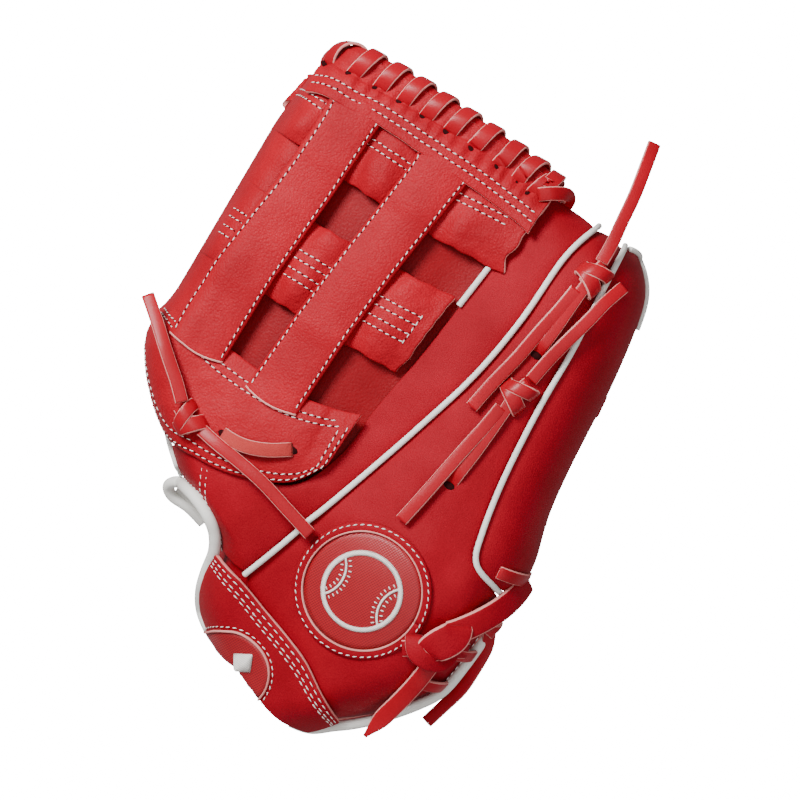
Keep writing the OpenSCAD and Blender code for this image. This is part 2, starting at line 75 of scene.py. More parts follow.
@dataclass(frozen=True)
class LeatherFinish:
    """Grained or sueded leather in one dye.

    Attributes:
        name: Material name.
        light: Colour of the lighter patches.
        deep: Colour in the creases and darker patches.
        grain: Grain cells per metre.
        depth: Height of the grain in metres.
        rough: Mean roughness.
        sheen: Strength of the suede-like sheen.
        coat: Strength of a glossy top coat.
    """

    name: str
    light: tuple[float, float, float]
    deep: tuple[float, float, float]
    grain: float = 750.0
    depth: float = 0.00035
    rough: float = 0.5
    sheen: float = 0.15
    coat: float = 0.0

    def build(self) -> bpy.types.Material:
        """Make the material.

        Returns:
            The finished material.
        """
        mat, nodes, links, shader = new_material(self.name)
        place = nodes.new("ShaderNodeTexCoord").outputs["Object"]
        patches = noise_node(nodes, links, place, 28.0, 4.0, 0.6)
        fibres = noise_node(nodes, links, place, self.grain * 2.2, 3.0, 0.65)
        cells = nodes.new("ShaderNodeTexVoronoi")
        cells.feature = "F1"
        cells.inputs["Scale"].default_value = self.grain
        cells.inputs["Randomness"].default_value = 1.0
        warp = noise_node(nodes, links, place, self.grain * 0.35, 2.0, 0.5)
        bend = nodes.new("ShaderNodeVectorMath")
        bend.operation = "MULTIPLY_ADD"
        bend.inputs[1].default_value = (0.0008, 0.0008, 0.0008)
        links.new(warp.outputs["Color"], bend.inputs[0])
        links.new(place, bend.inputs[2])
        links.new(bend.outputs["Vector"], cells.inputs["Vector"])
        tone = mix_values(nodes, links, patches.outputs["Fac"], fibres.outputs["Fac"], 0.45)
        ramp = colour_ramp(nodes, links, tone, [(0.33, self.deep), (0.62, self.light)])
        crease = map_range(nodes, links, cells.outputs["Distance"], 0.25, 0.8, 0.0, 0.32)
        dark = mix_colours(nodes, links, crease, ramp.outputs["Color"], self.deep)
        links.new(dark, shader.inputs["Base Color"])
        rough = map_range(nodes, links, tone, 0.3, 0.7, self.rough + 0.09, self.rough - 0.07)
        links.new(rough, shader.inputs["Roughness"])
        height = mix_values(nodes, links, cells.outputs["Distance"], fibres.outputs["Fac"], 0.35)
        add_bump(nodes, links, shader, height, self.depth, invert=True)
        shader.inputs["Sheen Weight"].default_value = self.sheen
        shader.inputs["Sheen Roughness"].default_value = 0.5
        shader.inputs["Sheen Tint"].default_value = (1.0, 0.45, 0.42, 1.0)
        shader.inputs["Specular IOR Level"].default_value = 0.1
        shader.inputs["Coat Weight"].default_value = self.coat
        shader.inputs["Coat Roughness"].default_value = 0.28
        return mat


@dataclass(frozen=True)
class ClothFinish:
    """Satin or thread with a fine weave.

    Attributes:
        name: Material name.
        light: Thread colour.
        deep: Colour between the threads.
        threads: Threads per metre.
        depth: Height of the threads in metres.
        rough: Mean roughness.
        sheen: Strength of the sheen.
    """

    name: str
    light: tuple[float, float, float]
    deep: tuple[float, float, float]
    threads: float = 1800.0
    depth: float = 0.00012
    rough: float = 0.45
    sheen: float = 0.3

    def build(self) -> bpy.types.Material:
        """Make the material.

        Returns:
            The finished material.
        """
        mat, nodes, links, shader = new_material(self.name)
        coords = nodes.new("ShaderNodeTexCoord")
        waves = []
        for turn in (radians(28), radians(118)):
            place = nodes.new("ShaderNodeMapping")
            place.inputs["Rotation"].default_value = (0.0, 0.0, turn)
            links.new(coords.outputs["Object"], place.inputs["Vector"])
            wave = nodes.new("ShaderNodeTexWave")
            wave.inputs["Scale"].default_value = self.threads / 6.28
            wave.inputs["Distortion"].default_value = 1.2
            wave.inputs["Detail"].default_value = 2.0
            links.new(place.outputs["Vector"], wave.inputs["Vector"])
            waves.append(wave.outputs["Fac"])
        weave = mix_values(nodes, links, waves[0], waves[1], 0.35)
        ramp = colour_ramp(nodes, links, weave, [(0.15, self.deep), (0.7, self.light)])
        links.new(ramp.outputs["Color"], shader.inputs["Base Color"])
        rough = map_range(nodes, links, weave, 0.0, 1.0, self.rough + 0.1, self.rough - 0.08)
        links.new(rough, shader.inputs["Roughness"])
        add_bump(nodes, links, shader, weave, self.depth)
        shader.inputs["Sheen Weight"].default_value = self.sheen
        shader.inputs["Sheen Roughness"].default_value = 0.35
        return mat


def new_material(name: str) -> tuple:
    """Start a node material.

    Args:
        name: Material name.

    Returns:
        The material, its nodes, its links and its shader node.
    """
    mat = bpy.data.materials.new(name)
    mat.use_nodes = True
    nodes = mat.node_tree.nodes
    return mat, nodes, mat.node_tree.links, nodes["Principled BSDF"]


def noise_node(nodes: bpy.types.Nodes, links: bpy.types.NodeLinks, source: bpy.types.NodeSocket,
               scale: float, detail: float, rough: float) -> bpy.types.Node:
    """Add a noise texture that reads a place on the piece.

    Args:
        nodes: The material's nodes.
        links: The material's links.
        source: Place that the noise reads.
        scale: Scale of the noise, finer as it grows.
        detail: Octaves of detail.
        rough: Strength of the finer octaves.

    Returns:
        The noise node.
    """
    node = nodes.new("ShaderNodeTexNoise")
    node.inputs["Scale"].default_value = scale
    node.inputs["Detail"].default_value = detail
    node.inputs["Roughness"].default_value = rough
    links.new(source, node.inputs["Vector"])
    return node


def mix_values(nodes: bpy.types.Nodes, links: bpy.types.NodeLinks, first: bpy.types.NodeSocket,
               second: bpy.types.NodeSocket, share: float) -> bpy.types.NodeSocket:
    """Blend two values, `share` of the second.

    Args:
        nodes: The material's nodes.
        links: The material's links.
        first: First value.
        second: Second value.
        share: Share of the second value.

    Returns:
        The blended value.
    """
    node = nodes.new("ShaderNodeMix")
    node.inputs["Factor"].default_value = share
    links.new(first, node.inputs["A"])
    links.new(second, node.inputs["B"])
    return node.outputs["Result"]


def mix_colours(nodes: bpy.types.Nodes, links: bpy.types.NodeLinks, factor: bpy.types.NodeSocket,
                first: bpy.types.NodeSocket, second: tuple) -> bpy.types.NodeSocket:
    """Blend a linked colour towards a plain one.

    Args:
        nodes: The material's nodes.
        links: The material's links.
        factor: Share of the plain colour.
        first: Linked colour.
        second: Plain colour.

    Returns:
        The blended colour.
    """
    node = nodes.new("ShaderNodeMix")
    node.data_type = "RGBA"
    links.new(factor, node.inputs["Factor"])
    links.new(first, node.inputs[6])
    node.inputs[7].default_value = (*second, 1.0)
    return node.outputs[2]


def colour_ramp(nodes: bpy.types.Nodes, links: bpy.types.NodeLinks, value: bpy.types.NodeSocket,
                stops: list) -> bpy.types.Node:
    """Colour a value by ramp stops of place and colour.

    Args:
        nodes: The material's nodes.
        links: The material's links.
        value: Value to colour.
        stops: Pairs of place and colour.

    Returns:
        The ramp node.
    """
    node = nodes.new("ShaderNodeValToRGB")
    for element, (place, colour) in zip(node.color_ramp.elements, stops):
        element.position = place
        element.color = (*colour, 1.0)
    links.new(value, node.inputs["Fac"])
    return node


def map_range(nodes: bpy.types.Nodes, links: bpy.types.NodeLinks, value: bpy.types.NodeSocket, low: float,
              high: float, to_low: float, to_high: float) -> bpy.types.NodeSocket:
    """Map a value from one range to another.

    Args:
        nodes: The material's nodes.
        links: The material's links.
        value: Value to map.
        low: Lower end of the value.
        high: Upper end of the value.
        to_low: Result at the lower end.
        to_high: Result at the upper end.

    Returns:
        The mapped value.
    """
    node = nodes.new("ShaderNodeMapRange")
    for name, number in zip(("From Min", "From Max", "To Min", "To Max"), (low, high, to_low, to_high)):
        node.inputs[name].default_value = number
    links.new(value, node.inputs["Value"])
    return node.outputs["Result"]


def add_bump(nodes: bpy.types.Nodes, links: bpy.types.NodeLinks, shader: bpy.types.Node,
             height: bpy.types.NodeSocket, depth: float, invert: bool = False) -> None:
    """Raise the shader's normal by a height.

    Args:
        nodes: The material's nodes.
        links: The material's links.
        shader: Shader to raise.
        height: Height value.
        depth: Depth in metres.
        invert: Whether high values sink.
    """
    node = nodes.new("ShaderNodeBump")
    node.inputs["Strength"].default_value = 1.0
    node.inputs["Distance"].default_value = depth
    node.invert = invert
    links.new(height, node.inputs["Height"])
    links.new(node.outputs["Normal"], shader.inputs["Normal"])


FINISHES = {
    "web": LeatherFinish("web_pebbled_leather", (0.37, 0.0035, 0.013), (0.22, 0.001, 0.006), 900.0, 0.00032,
                         0.48, 0.03),
    "back": LeatherFinish("back_sueded_leather", (0.30, 0.0004, 0.010), (0.19, 0.0002, 0.005), 1500.0,
                          0.0002, 0.58, 0.03),
    # Palm leather in a darker red than the back leather: the darkening is painted shade for the pocket and
    # the panel behind the web.
    "palm": LeatherFinish("palm_leather", (0.23, 0.0004, 0.005), (0.15, 0.0002, 0.003), 900.0, 0.0002, 0.5,
                          0.0),
    "lace": LeatherFinish("lace_grain", (0.37, 0.0008, 0.011), (0.24, 0.0003, 0.005), 1900.0, 0.0001, 0.34,
                          0.0, 0.2),
    "flesh": LeatherFinish("lace_flesh", (0.45, 0.05, 0.045), (0.29, 0.018, 0.018), 1700.0, 0.0004, 0.75,
                           0.15),
    "cut": LeatherFinish("raw_cut_edge", (0.74, 0.33, 0.30), (0.52, 0.14, 0.13), 2500.0, 0.0002, 0.8, 0.1),
    "trim": LeatherFinish("white_trim", (0.80, 0.79, 0.75), (0.64, 0.63, 0.59), 1300.0, 0.0001, 0.42, 0.05),
    "badge": ClothFinish("badge_satin", (0.34, 0.0008, 0.008), (0.16, 0.0004, 0.003), sheen=0.05),
    "thread": ClothFinish("white_thread", (0.86, 0.84, 0.80), (0.58, 0.54, 0.50), 2600.0, 0.00008, 0.5, 0.2),
    "lining": ClothFinish("knit_lining", (0.055, 0.058, 0.065), (0.02, 0.021, 0.025), 900.0, 0.0003, 0.85,
                          0.3),
    # Near-black finish for spots that paint the shade inside needle and lace holes.
    "hole": LeatherFinish("painted_hole_shade", (0.03, 0.002, 0.003), (0.012, 0.001, 0.001), 900.0, 0.0001, 0.9, 0.0),
}


# ---------------------------------------------------------------- form


def mix(a, b, t: float):
    """Blend a to b by t.

    Args:
        a: Value at 0.
        b: Value at 1.
        t: Place between them.

    Returns:
        The blend.
    """
    return a + (b - a) * t


def ramp(v: float, a: float, b: float) -> float:
    """Smooth step of v between a and b.

    Args:
        v: Value to place.
        a: Start of the rise.
        b: End of the rise.

    Returns:
        A smooth rise from 0 to 1.
    """
    t = min(1.0, max(0.0, (v - a) / (b - a)))
    return t * t * (3 - 2 * t)


def roll(x: float, h: float) -> float:
    """Drop of a quarter-round shoulder of height h at x from 0 to 1.

    Args:
        x: Place on the shoulder, 0 at its start and 1 at its foot.
        h: Height of the shoulder.

    Returns:
        The drop there.
    """
    s = min(0.985, max(0.0, x))
    return h * (1 - sqrt(1 - s * s))


def spline(points: Curve, q: float) -> Vector:
    """Point of a smooth curve through the given points.

    Args:
        points: Points of two or three numbers.
        q: Place along it, from 0 to 1.

    Returns:
        The point.
    """
    n = len(points) - 1
    s = min(n - 0.0001, max(0.0, q * n))
    i = int(s)
    f = s - i
    a, b, c, d = (Vector(points[k]) for k in (max(0, i - 1), i, i + 1, min(n, i + 2)))
    return 0.5 * (2 * b + (c - a) * f + (2 * a - 5 * b + 4 * c - d) * f * f + (3 * b - a - 3 * c + d) * f**3)


def wobble(x: float, y: float, size: float, seed: float = 0.0) -> float:
    """Smooth random height from -1 to 1, repeatable, over features of `size` millimetres.

    Args:
        x: Plan place across, in millimetres.
        y: Plan place along, in millimetres.
        size: Width of one swell in millimetres.
        seed: Which pattern.

    Returns:
        A smooth unevenness, about -1 to 1.
    """
    return noise.noise(Vector((x / size, y / size, seed)))


@dataclass(frozen=True)
class Skin:
    """Outer skin of the thumb half, in plan millimetres."""

    crown: float = 112.0
    thumb_fall: float = 14.0
    web_fall: float = 12.0
    heel_fall: float = 34.0
    left_roll: tuple[float, float] = (19.0, 42.0)
    right_roll: tuple[float, float] = (34.0, 46.0)
    left: Curve = ((-150, -22), (-144, -28), (-127, -41), (-106, -43), (-99, -50), (-93, -60), (-89, -74),
                   (-76, -88), (-64, -101), (-55, -111), (-43, -120), (-26, -124), (-12, -120), (90, -119),
                   (140, -112))
    right: Curve = ((-168, 40), (-153, 56), (-142, 70), (-117, 90), (-105, 93), (-61, 95), (-36, 98),
                    (-20, 92), (20, 88), (60, 86), (93, 82), (103, 80), (112, 75), (119, 68), (126, 54))

    def outline(self, table: Curve, y: float) -> float:
        """How far across an outline lies at y, softened a little.

        Args:
            table: Outline points.
            y: Plan place along, in millimetres.

        Returns:
            How far across the outline lies.
        """
        return sum(self.lookup(table, y + step) for step in (-6, -2, 2, 6)) / 4

    @staticmethod
    def lookup(table: Curve, y: float) -> float:
        """Straight-line value of a table at y.

        Args:
            table: Outline points.
            y: Plan place along, in millimetres.

        Returns:
            The value between the neighbouring points.
        """
        if y <= table[0][0]:
            return table[0][1]
        for (y0, x0), (y1, x1) in zip(table, table[1:]):
            if y <= y1:
                return x0 + (x1 - x0) * (y - y0) / (y1 - y0)
        return table[-1][1]

    def height(self, x: float, y: float) -> float:
        """Height of the skin over the rest plane at a plan point.

        Args:
            x: Plan place across, in millimetres.
            y: Plan place along, in millimetres.

        Returns:
            Height of the leather in millimetres.
        """
        thumb = ramp(x, 0, 35)
        edge_r = (x - self.outline(self.right, y) + self.right_roll[0]) / self.right_roll[0]
        edge_l = (self.outline(self.left, y) + self.left_roll[0] - x) / self.left_roll[0]
        return (
            self.crown
            - self.thumb_fall * ramp(-x, -50, 15)
            - self.web_fall * ramp(-x, 15, 105)
            - roll(edge_r, self.right_roll[1])
            - roll(edge_l, self.left_roll[1])
            - roll((y - 92) / 31, 5 + 23 * thumb) * mix(0.35, 1.0, thumb)
            - self.heel_fall * ramp(-y, 55, 175)
        )

    def normal(self, x: float, y: float) -> Vector:
        """Unit normal of the skin at a plan point.

        Args:
            x: Plan place across, in millimetres.
            y: Plan place along, in millimetres.

        Returns:
            The direction out of the leather.
        """
        e = 0.6
        n = Vector((
            -(self.height(x + e, y) - self.height(x - e, y)) / (2 * e),
            -(self.height(x, y + e) - self.height(x, y - e)) / (2 * e),
            1.0,
        ))
        return n.normalized()

    def point(self, x: float, y: float, lift: float = 0.0) -> Vector:
        """Point that stands `lift` off the skin.

        Args:
            x: Plan place across, in millimetres.
            y: Plan place along, in millimetres.
            lift: Height over the leather.

        Returns:
            The point, in plan millimetres.
        """
        return Vector((x, y, self.height(x, y))) + self.normal(x, y) * lift

    def under(self, x: float, y: float, lift: float) -> Vector:
        """Point straight down from the skin, which is not followed far down its shoulders.

        Args:
            x: Plan place across, in millimetres.
            y: Plan place along, in millimetres.
            lift: Height over the leather, below zero under it.

        Returns:
            The point, in plan millimetres.
        """
        return Vector((x, y, max(self.height(x, y), self.crown - 42) + lift))


@dataclass(frozen=True)
class FingerSkin:
    """Outer skin of the finger half, u across from the web fold and v along from the tips."""

    left: Curve = ((-112, 104), (-117, 80), (-118, 50), (-118, 20), (-118, -10), (-117, -34), (-106, -54),
                   (-90, -68), (-74, -86), (-48, -102), (-38, -122), (-26, -140))
    right: Curve = ((66, 100), (78, 82), (84, 55), (85, 25), (86, -5), (90, -36), (91, -58),
                    (90, -78), (89, -98), (84, -118), (66, -140), (36, -158))
    fold_rise: float = 48.0
    side_rise: float = 36.0
    tip_rise: float = 28.0
    heel_rise: float = 22.0
    bow: float = 30.0
    heel_flare: float = 0.6

    def height(self, u: float, v: float) -> float:
        """Height of the skin over the rest plane.

        Args:
            u: Place across, from 0 to 1.
            v: Place along, from 0 to 1.

        Returns:
            Height of the finger backs in millimetres.
        """
        sides = 1 - self.heel_flare * ramp(v, 0.85, 1.0)
        s = (roll((0.24 - u) / 0.24, self.fold_rise) * sides + roll((u - 0.74) / 0.26, self.side_rise) * sides
             + roll((0.14 - v) / 0.14, self.tip_rise) + self.heel_rise * ramp(v, 0.72, 1.0))
        return 60 * (1 - exp(-s / 60))

    def point(self, u: float, v: float, lift: float = 0.0) -> Vector:
        """Point of the finger half, lifted upwards.

        Args:
            u: Place across, from 0 to 1.
            v: Place along, from 0 to 1.
            lift: Height into the mitt.

        Returns:
            The point, in plan millimetres.
        """
        p = mix(spline(self.left, v), spline(self.right, v), u)
        bow = self.bow * max(0.0, sin(pi * u)) ** 0.8 * (1 - v) ** 3
        return Vector((p.x, p.y + bow, self.height(u, v) + lift))


SKIN = Skin()
FINGERS = FingerSkin()


# ---------------------------------------------------------------- mesh work


def to_frame(p: Vector) -> Vector:
    """Plan millimetres to metres of the frame.

    Args:
        p: Point in plan millimetres.

    Returns:
        The point in metres in the frame.
    """
    return (p + PLAN_SHIFT) * MM


def finish_mesh(name: str, bm: bmesh.types.BMesh, finishes: Sequence[str],
                outward: bool = True) -> bpy.types.Object:
    """Make a smooth object of a bmesh drawn in plan millimetres.

    Args:
        name: Name of the piece.
        bm: Its mesh, which is freed.
        finishes: Names of its finishes, in slot order.
        outward: Whether to turn the faces outwards, on a closed mesh.

    Returns:
        The new object.
    """
    if outward:
        bmesh.ops.recalc_face_normals(bm, faces=bm.faces)
    for vert in bm.verts:
        vert.co = to_frame(vert.co)
    for face in bm.faces:
        face.smooth = True
    mesh = bpy.data.meshes.new(name)
    bm.to_mesh(mesh)
    bm.free()
    for finish in finishes:
        mesh.materials.append(MATERIALS[finish])
    obj = bpy.data.objects.new(name, mesh)
    bpy.context.scene.collection.objects.link(obj)
    return obj


def sheet(name: str, at: Callable[[float, float], Vector], nu: int, nv: int, thick: float,
          finishes: Sequence[str], up: float = 1.0, smooth: int = 1) -> bpy.types.Object:
    """A leather sheet: a grid laid on a surface, given its thickness inwards and rounded rims.

    Args:
        name: Name of the piece.
        at: Point of the outer face at u, v from 0 to 1, in plan millimetres.
        nu: Faces across.
        nv: Faces along.
        thick: Thickness in millimetres.
        finishes: Finish of the faces, then of the rim.
        up: 1 where the outer face looks up, -1 where it looks down.
        smooth: Subdivision levels.

    Returns:
        The new object.
    """
    bm = bmesh.new()
    bmesh.ops.create_grid(bm, x_segments=nu, y_segments=nv, size=0.5)
    for vert in bm.verts:
        vert.co = at(vert.co.x + 0.5, 0.5 - vert.co.y)
    bm.normal_update()
    if sum(face.normal.z * face.calc_area() for face in bm.faces) * up < 0:
        bmesh.ops.reverse_faces(bm, faces=bm.faces)
    obj = finish_mesh(name, bm, finishes, outward=False)
    solid = obj.modifiers.new("thickness", "SOLIDIFY")
    solid.thickness = thick * MM
    solid.offset = -1.0
    solid.material_offset_rim = len(finishes) - 1
    if smooth:
        subdivide(obj, smooth)
    return obj


def subdivide(obj: bpy.types.Object, levels: int) -> None:
    """Add a subdivision surface.

    Args:
        obj: The piece.
        levels: Levels of subdivision.
    """
    sub = obj.modifiers.new("smooth", "SUBSURF")
    sub.levels = sub.render_levels = levels


def path_frames(path: Path) -> list[tuple[Vector, Vector, Vector]]:
    """Point, side and face direction at each place of a path.

    Args:
        path: Points with their upward directions.

    Returns:
        Each point with its sideways direction and its face direction.
    """
    frames = []
    for i, (p, up) in enumerate(path):
        tangent = (path[min(len(path) - 1, i + 1)][0] - path[max(0, i - 1)][0]).normalized()
        side = up.cross(tangent).normalized()
        frames.append((p, side, tangent.cross(side).normalized()))
    return frames


def add_strand(bm: bmesh.types.BMesh, path: Path, width: float, thick: float, sides: int = 14,
               square: float = 0.55, taper: Callable[[float], float] | None = None, edge_slot: int = 1,
               face_slot: int = 0) -> None:
    """Sweep a flat or round strand along a path into a bmesh.

    Args:
        bm: Mesh to add to.
        path: Points with the direction that the strand's face looks.
        width: Width in millimetres.
        thick: Thickness in millimetres.
        sides: Corners of the section.
        square: 1 for an ellipse, less for a squarer section.
        taper: Width factor along the strand, from 0 to 1.
        edge_slot: Material slot of the narrow sides and the cut ends.
        face_slot: Material slot of the faces.
    """
    frames = path_frames(path)
    rings = len(frames)
    part = bmesh.new()
    bmesh.ops.create_cone(part, cap_ends=True, cap_tris=False, segments=sides, radius1=1, radius2=1, depth=1)
    if rings > 2:
        long_edges = [e for e in part.edges if abs(e.verts[0].co.z - e.verts[1].co.z) > 0.5]
        bmesh.ops.subdivide_edges(part, edges=long_edges, cuts=rings - 2)
    for face in part.faces:
        centre = face.calc_center_median()
        is_end = abs(abs(centre.z) - 0.5) < 1e-4
        is_side = abs(cos(atan2(centre.y, centre.x))) > 0.88
        face.material_index = edge_slot if is_end or is_side else face_slot
    for vert in part.verts:
        angle = atan2(vert.co.y, vert.co.x)
        along = vert.co.z + 0.5
        p, side, face_dir = frames[round(along * (rings - 1))]
        scale = taper(along) if taper else 1.0
        a, b = cos(angle), sin(angle)
        x = (1 if a > 0 else -1) * abs(a) ** square * width / 2 * scale
        y = (1 if b > 0 else -1) * abs(b) ** square * thick / 2
        vert.co = p + side * x + face_dir * y
    merge(bm, part)


def merge(bm: bmesh.types.BMesh, part: bmesh.types.BMesh) -> None:
    """Add one mesh to another and free the first.

    Args:
        bm: Mesh that takes the part.
        part: Mesh to add, which is freed.
    """
    mesh = bpy.data.meshes.new("part")
    part.to_mesh(mesh)
    part.free()
    bm.from_mesh(mesh)
    bpy.data.meshes.remove(mesh)


def strand(name: str, path: Path, width: float, thick: float, finishes: Sequence[str],
           **options) -> bpy.types.Object:
    """One strand as a piece of its own; see add_strand.

    Args:
        name: Name of the piece.
        path: Points with their upward directions.
        width: Width in millimetres.
        thick: Thickness in millimetres.
        finishes: Finishes by slot.
        **options: Passed on to add_strand.

    Returns:
        The piece.
    """
    bm = bmesh.new()
    add_strand(bm, path, width, thick, **options)
    obj = finish_mesh(name, bm, finishes)
    return obj


def skin_path(curve: Curve, lift: float | Callable[[float], float], steps: int, start: float = 0.0,
              stop: float = 1.0) -> Path:
    """Path over the thumb half's skin along a plan curve.

    Args:
        curve: Plan points.
        lift: Height over the leather, or a function of the place along.
        steps: Number of steps.
        start: Where to start, from 0 to 1.
        stop: Where to stop, from 0 to 1.

    Returns:
        Points with their upward directions.
    """
    path = []
    for i in range(steps + 1):
        q = i / steps
        p = spline(curve, mix(start, stop, q))
        height = lift(q) if callable(lift) else lift
        path.append((SKIN.point(p.x, p.y, height), SKIN.normal(p.x, p.y)))
    return path


def even_path(path: Path, pitch: float) -> Path:
    """Places a set distance apart along a path.

    Args:
        path: Points with their upward directions.
        pitch: Distance between points.

    Returns:
        The path at even distances.
    """
    out = []
    carry = 0.0
    for (a, na), (b, nb) in zip(path, path[1:]):
        step = (b - a).length
        while carry < step:
            t = carry / step
            out.append((a.lerp(b, t), na.lerp(nb, t).normalized()))
            carry += pitch
        carry -= step
    return out


def offset_path(path: Path, aside: float, lift: float = 0.0) -> Path:
    """The same path, moved sideways and up, in millimetres.

    Args:
        path: Points with their upward directions.
        aside: How far to move sideways.
        lift: How far to move up.

    Returns:
        The moved path.
    """
    return [(p + side * aside + face * lift, face) for p, side, face in path_frames(path)]


@dataclass(frozen=True)
class Thread:
    """Size of a run of stitches, in millimetres."""

    pitch: float = 3.6
    dash: float = 2.7
    width: float = 0.64
    height: float = 0.52
    slant: float = 0.16


STITCH = Thread()


def thread_matrix(centre: Vector, along: Vector, across_: Vector, up: Vector) -> Matrix:
    """Place and stretch of one unit ball, by its three half-lengths.

    Args:
        centre: Middle of the stitch.
        along: Half length along.
        across_: Half width across.
        up: Half height.

    Returns:
        The matrix that shapes one stitch.
    """
    basis = Matrix((along, across_, up)).transposed()
    return Matrix.Translation(centre) @ basis.to_4x4()


def add_stitches(bm: bmesh.types.BMesh, path: Path, size: Thread = STITCH) -> None:
    """Lay a row of thread dashes along a path.

    Args:
        bm: Mesh that takes the stitches.
        path: Row of the stitches.
        size: Sizes of one stitch.
    """
    for p, side, face in path_frames(even_path(path, size.pitch)):
        along = (side.cross(face) + side * size.slant).normalized()
        half = (along * size.dash / 2, face.cross(along) * size.width / 2, face * size.height / 2)
        bmesh.ops.create_icosphere(bm, subdivisions=1, radius=1.0, matrix=thread_matrix(p, *half))


def add_needle_hole_shades(bm: bmesh.types.BMesh, path: Path, size: Thread = STITCH) -> None:
    """Lay a dark spot of painted shade, standing for a needle hole, between each two dashes of a path.

    Args:
        bm: Mesh that takes the painted shade spots.
        path: Row of the painted shade spots.
        size: Sizes of one stitch.
    """
    for p, side, face in path_frames(even_path(path, size.pitch))[:-1]:
        along = side.cross(face)
        half = (along * 0.5, side * 0.42, face * 0.2)
        place = p + along * size.pitch / 2
        bmesh.ops.create_icosphere(bm, subdivisions=1, radius=1.0, matrix=thread_matrix(place, *half))


def keep(obj: bpy.types.Object, half: Half, replaces: Sequence[str] = ()) -> bpy.types.Object:
    """Hide the CAD nodes that a piece stands for, and bake the piece in place or hang it on the finger half.

    Args:
        obj: The piece.
        half: Which body it follows.
        replaces: CAD nodes that it stands for.

    Returns:
        The same piece.
    """
    if replaces:
        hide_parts(*replaces)
    if half is Half.THUMB:
        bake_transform(obj)
    elif half is Half.FOLD:
        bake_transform(obj)
    else:
        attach(obj, "finger_half")
    LOG.info("made %s", obj.name)
    return obj


def inflate(obj: bpy.types.Object, voxel: float, cap: float, pressure: float = 1.6, last: int = 20) -> None:
    """Swell a closed pad with cloth pressure and keep the result in its mesh.

    Args:
        obj: The pad, whose mesh is replaced.
        voxel: Remesh size in metres.
        cap: How far a point may move, in metres.
        pressure: Cloth pressure.
        last: Last frame of the simulation.
    """
    remesh = obj.modifiers.new("remesh", "REMESH")
    remesh.mode = "VOXEL"
    remesh.voxel_size = voxel
    bake_modifiers(obj)
    before = [v.co.copy() for v in obj.data.vertices]
    cloth = obj.modifiers.new("swell", "CLOTH")
    cloth.settings.use_pressure = True
    cloth.settings.uniform_pressure_force = pressure
    cloth.settings.effector_weights.gravity = 0.0
    cloth.settings.quality = 4
    cloth.settings.tension_stiffness = 600.0
    cloth.settings.compression_stiffness = 600.0
    cloth.settings.bending_stiffness = 40.0
    scene = bpy.context.scene
    for step in range(1, last + 1):
        scene.frame_set(step)
    bake_modifiers(obj)
    for vert, old in zip(obj.data.vertices, before):
        move = vert.co - old
        if move.length > cap:
            vert.co = old + move.normalized() * cap
    scene.frame_set(1)


def bake_modifiers(obj: bpy.types.Object) -> None:
    """Put the modifiers' result into the mesh.

    Args:
        obj: The piece.
    """
    mesh = bpy.data.meshes.new_from_object(obj.evaluated_get(bpy.context.evaluated_depsgraph_get()))
    old = obj.data
    obj.modifiers.clear()
    obj.data = mesh
    bpy.data.meshes.remove(old)
    for poly in obj.data.polygons:
        poly.use_smooth = True


def pad(name: str, top: Callable[[float, float], Vector], bottom: Callable[[float, float], Vector], nu: int,
        nv: int, finish: str, voxel: float = 0.005, cap: float = 0.004) -> bpy.types.Object:
    """A stuffed leather pad between two surfaces, swollen by cloth pressure.

    Args:
        name: Name of the piece.
        top: Upper surface.
        bottom: Lower surface.
        nu: Steps across.
        nv: Steps along.
        finish: Name of the finish.
        voxel: Remesh size in metres.
        cap: How far a point may swell, in metres.

    Returns:
        The piece.
    """
    bm = bmesh.new()
    bmesh.ops.create_grid(bm, x_segments=nu, y_segments=nv, size=0.5)
    where = {v: (v.co.x + 0.5, 0.5 - v.co.y) for v in bm.verts}
    lower = bmesh.ops.duplicate(bm, geom=bm.verts[:] + bm.edges[:] + bm.faces[:])
    pairs = lower["vert_map"]
    for vert, (u, v) in where.items():
        pairs[vert].co = bottom(u, v)
        vert.co = top(u, v)
    rims = [e for e in bm.edges if e.is_boundary]
    bmesh.ops.bridge_loops(bm, edges=rims)
    obj = finish_mesh(name, bm, [finish])
    inflate(obj, voxel, cap)
    subdivide(obj, 1)
    return obj


# ---------------------------------------------------------------- thumb half


def across(left: Curve, right: Curve, u: float, v: float) -> Vector:
    """Plan point between two curves.

    Args:
        left: Left edge.
        right: Right edge.
        u: Place across, from 0 to 1.
        v: Place along, from 0 to 1.

    Returns:
        The plan point between the edges.
    """
    return mix(spline(left, v), spline(right, v), u)


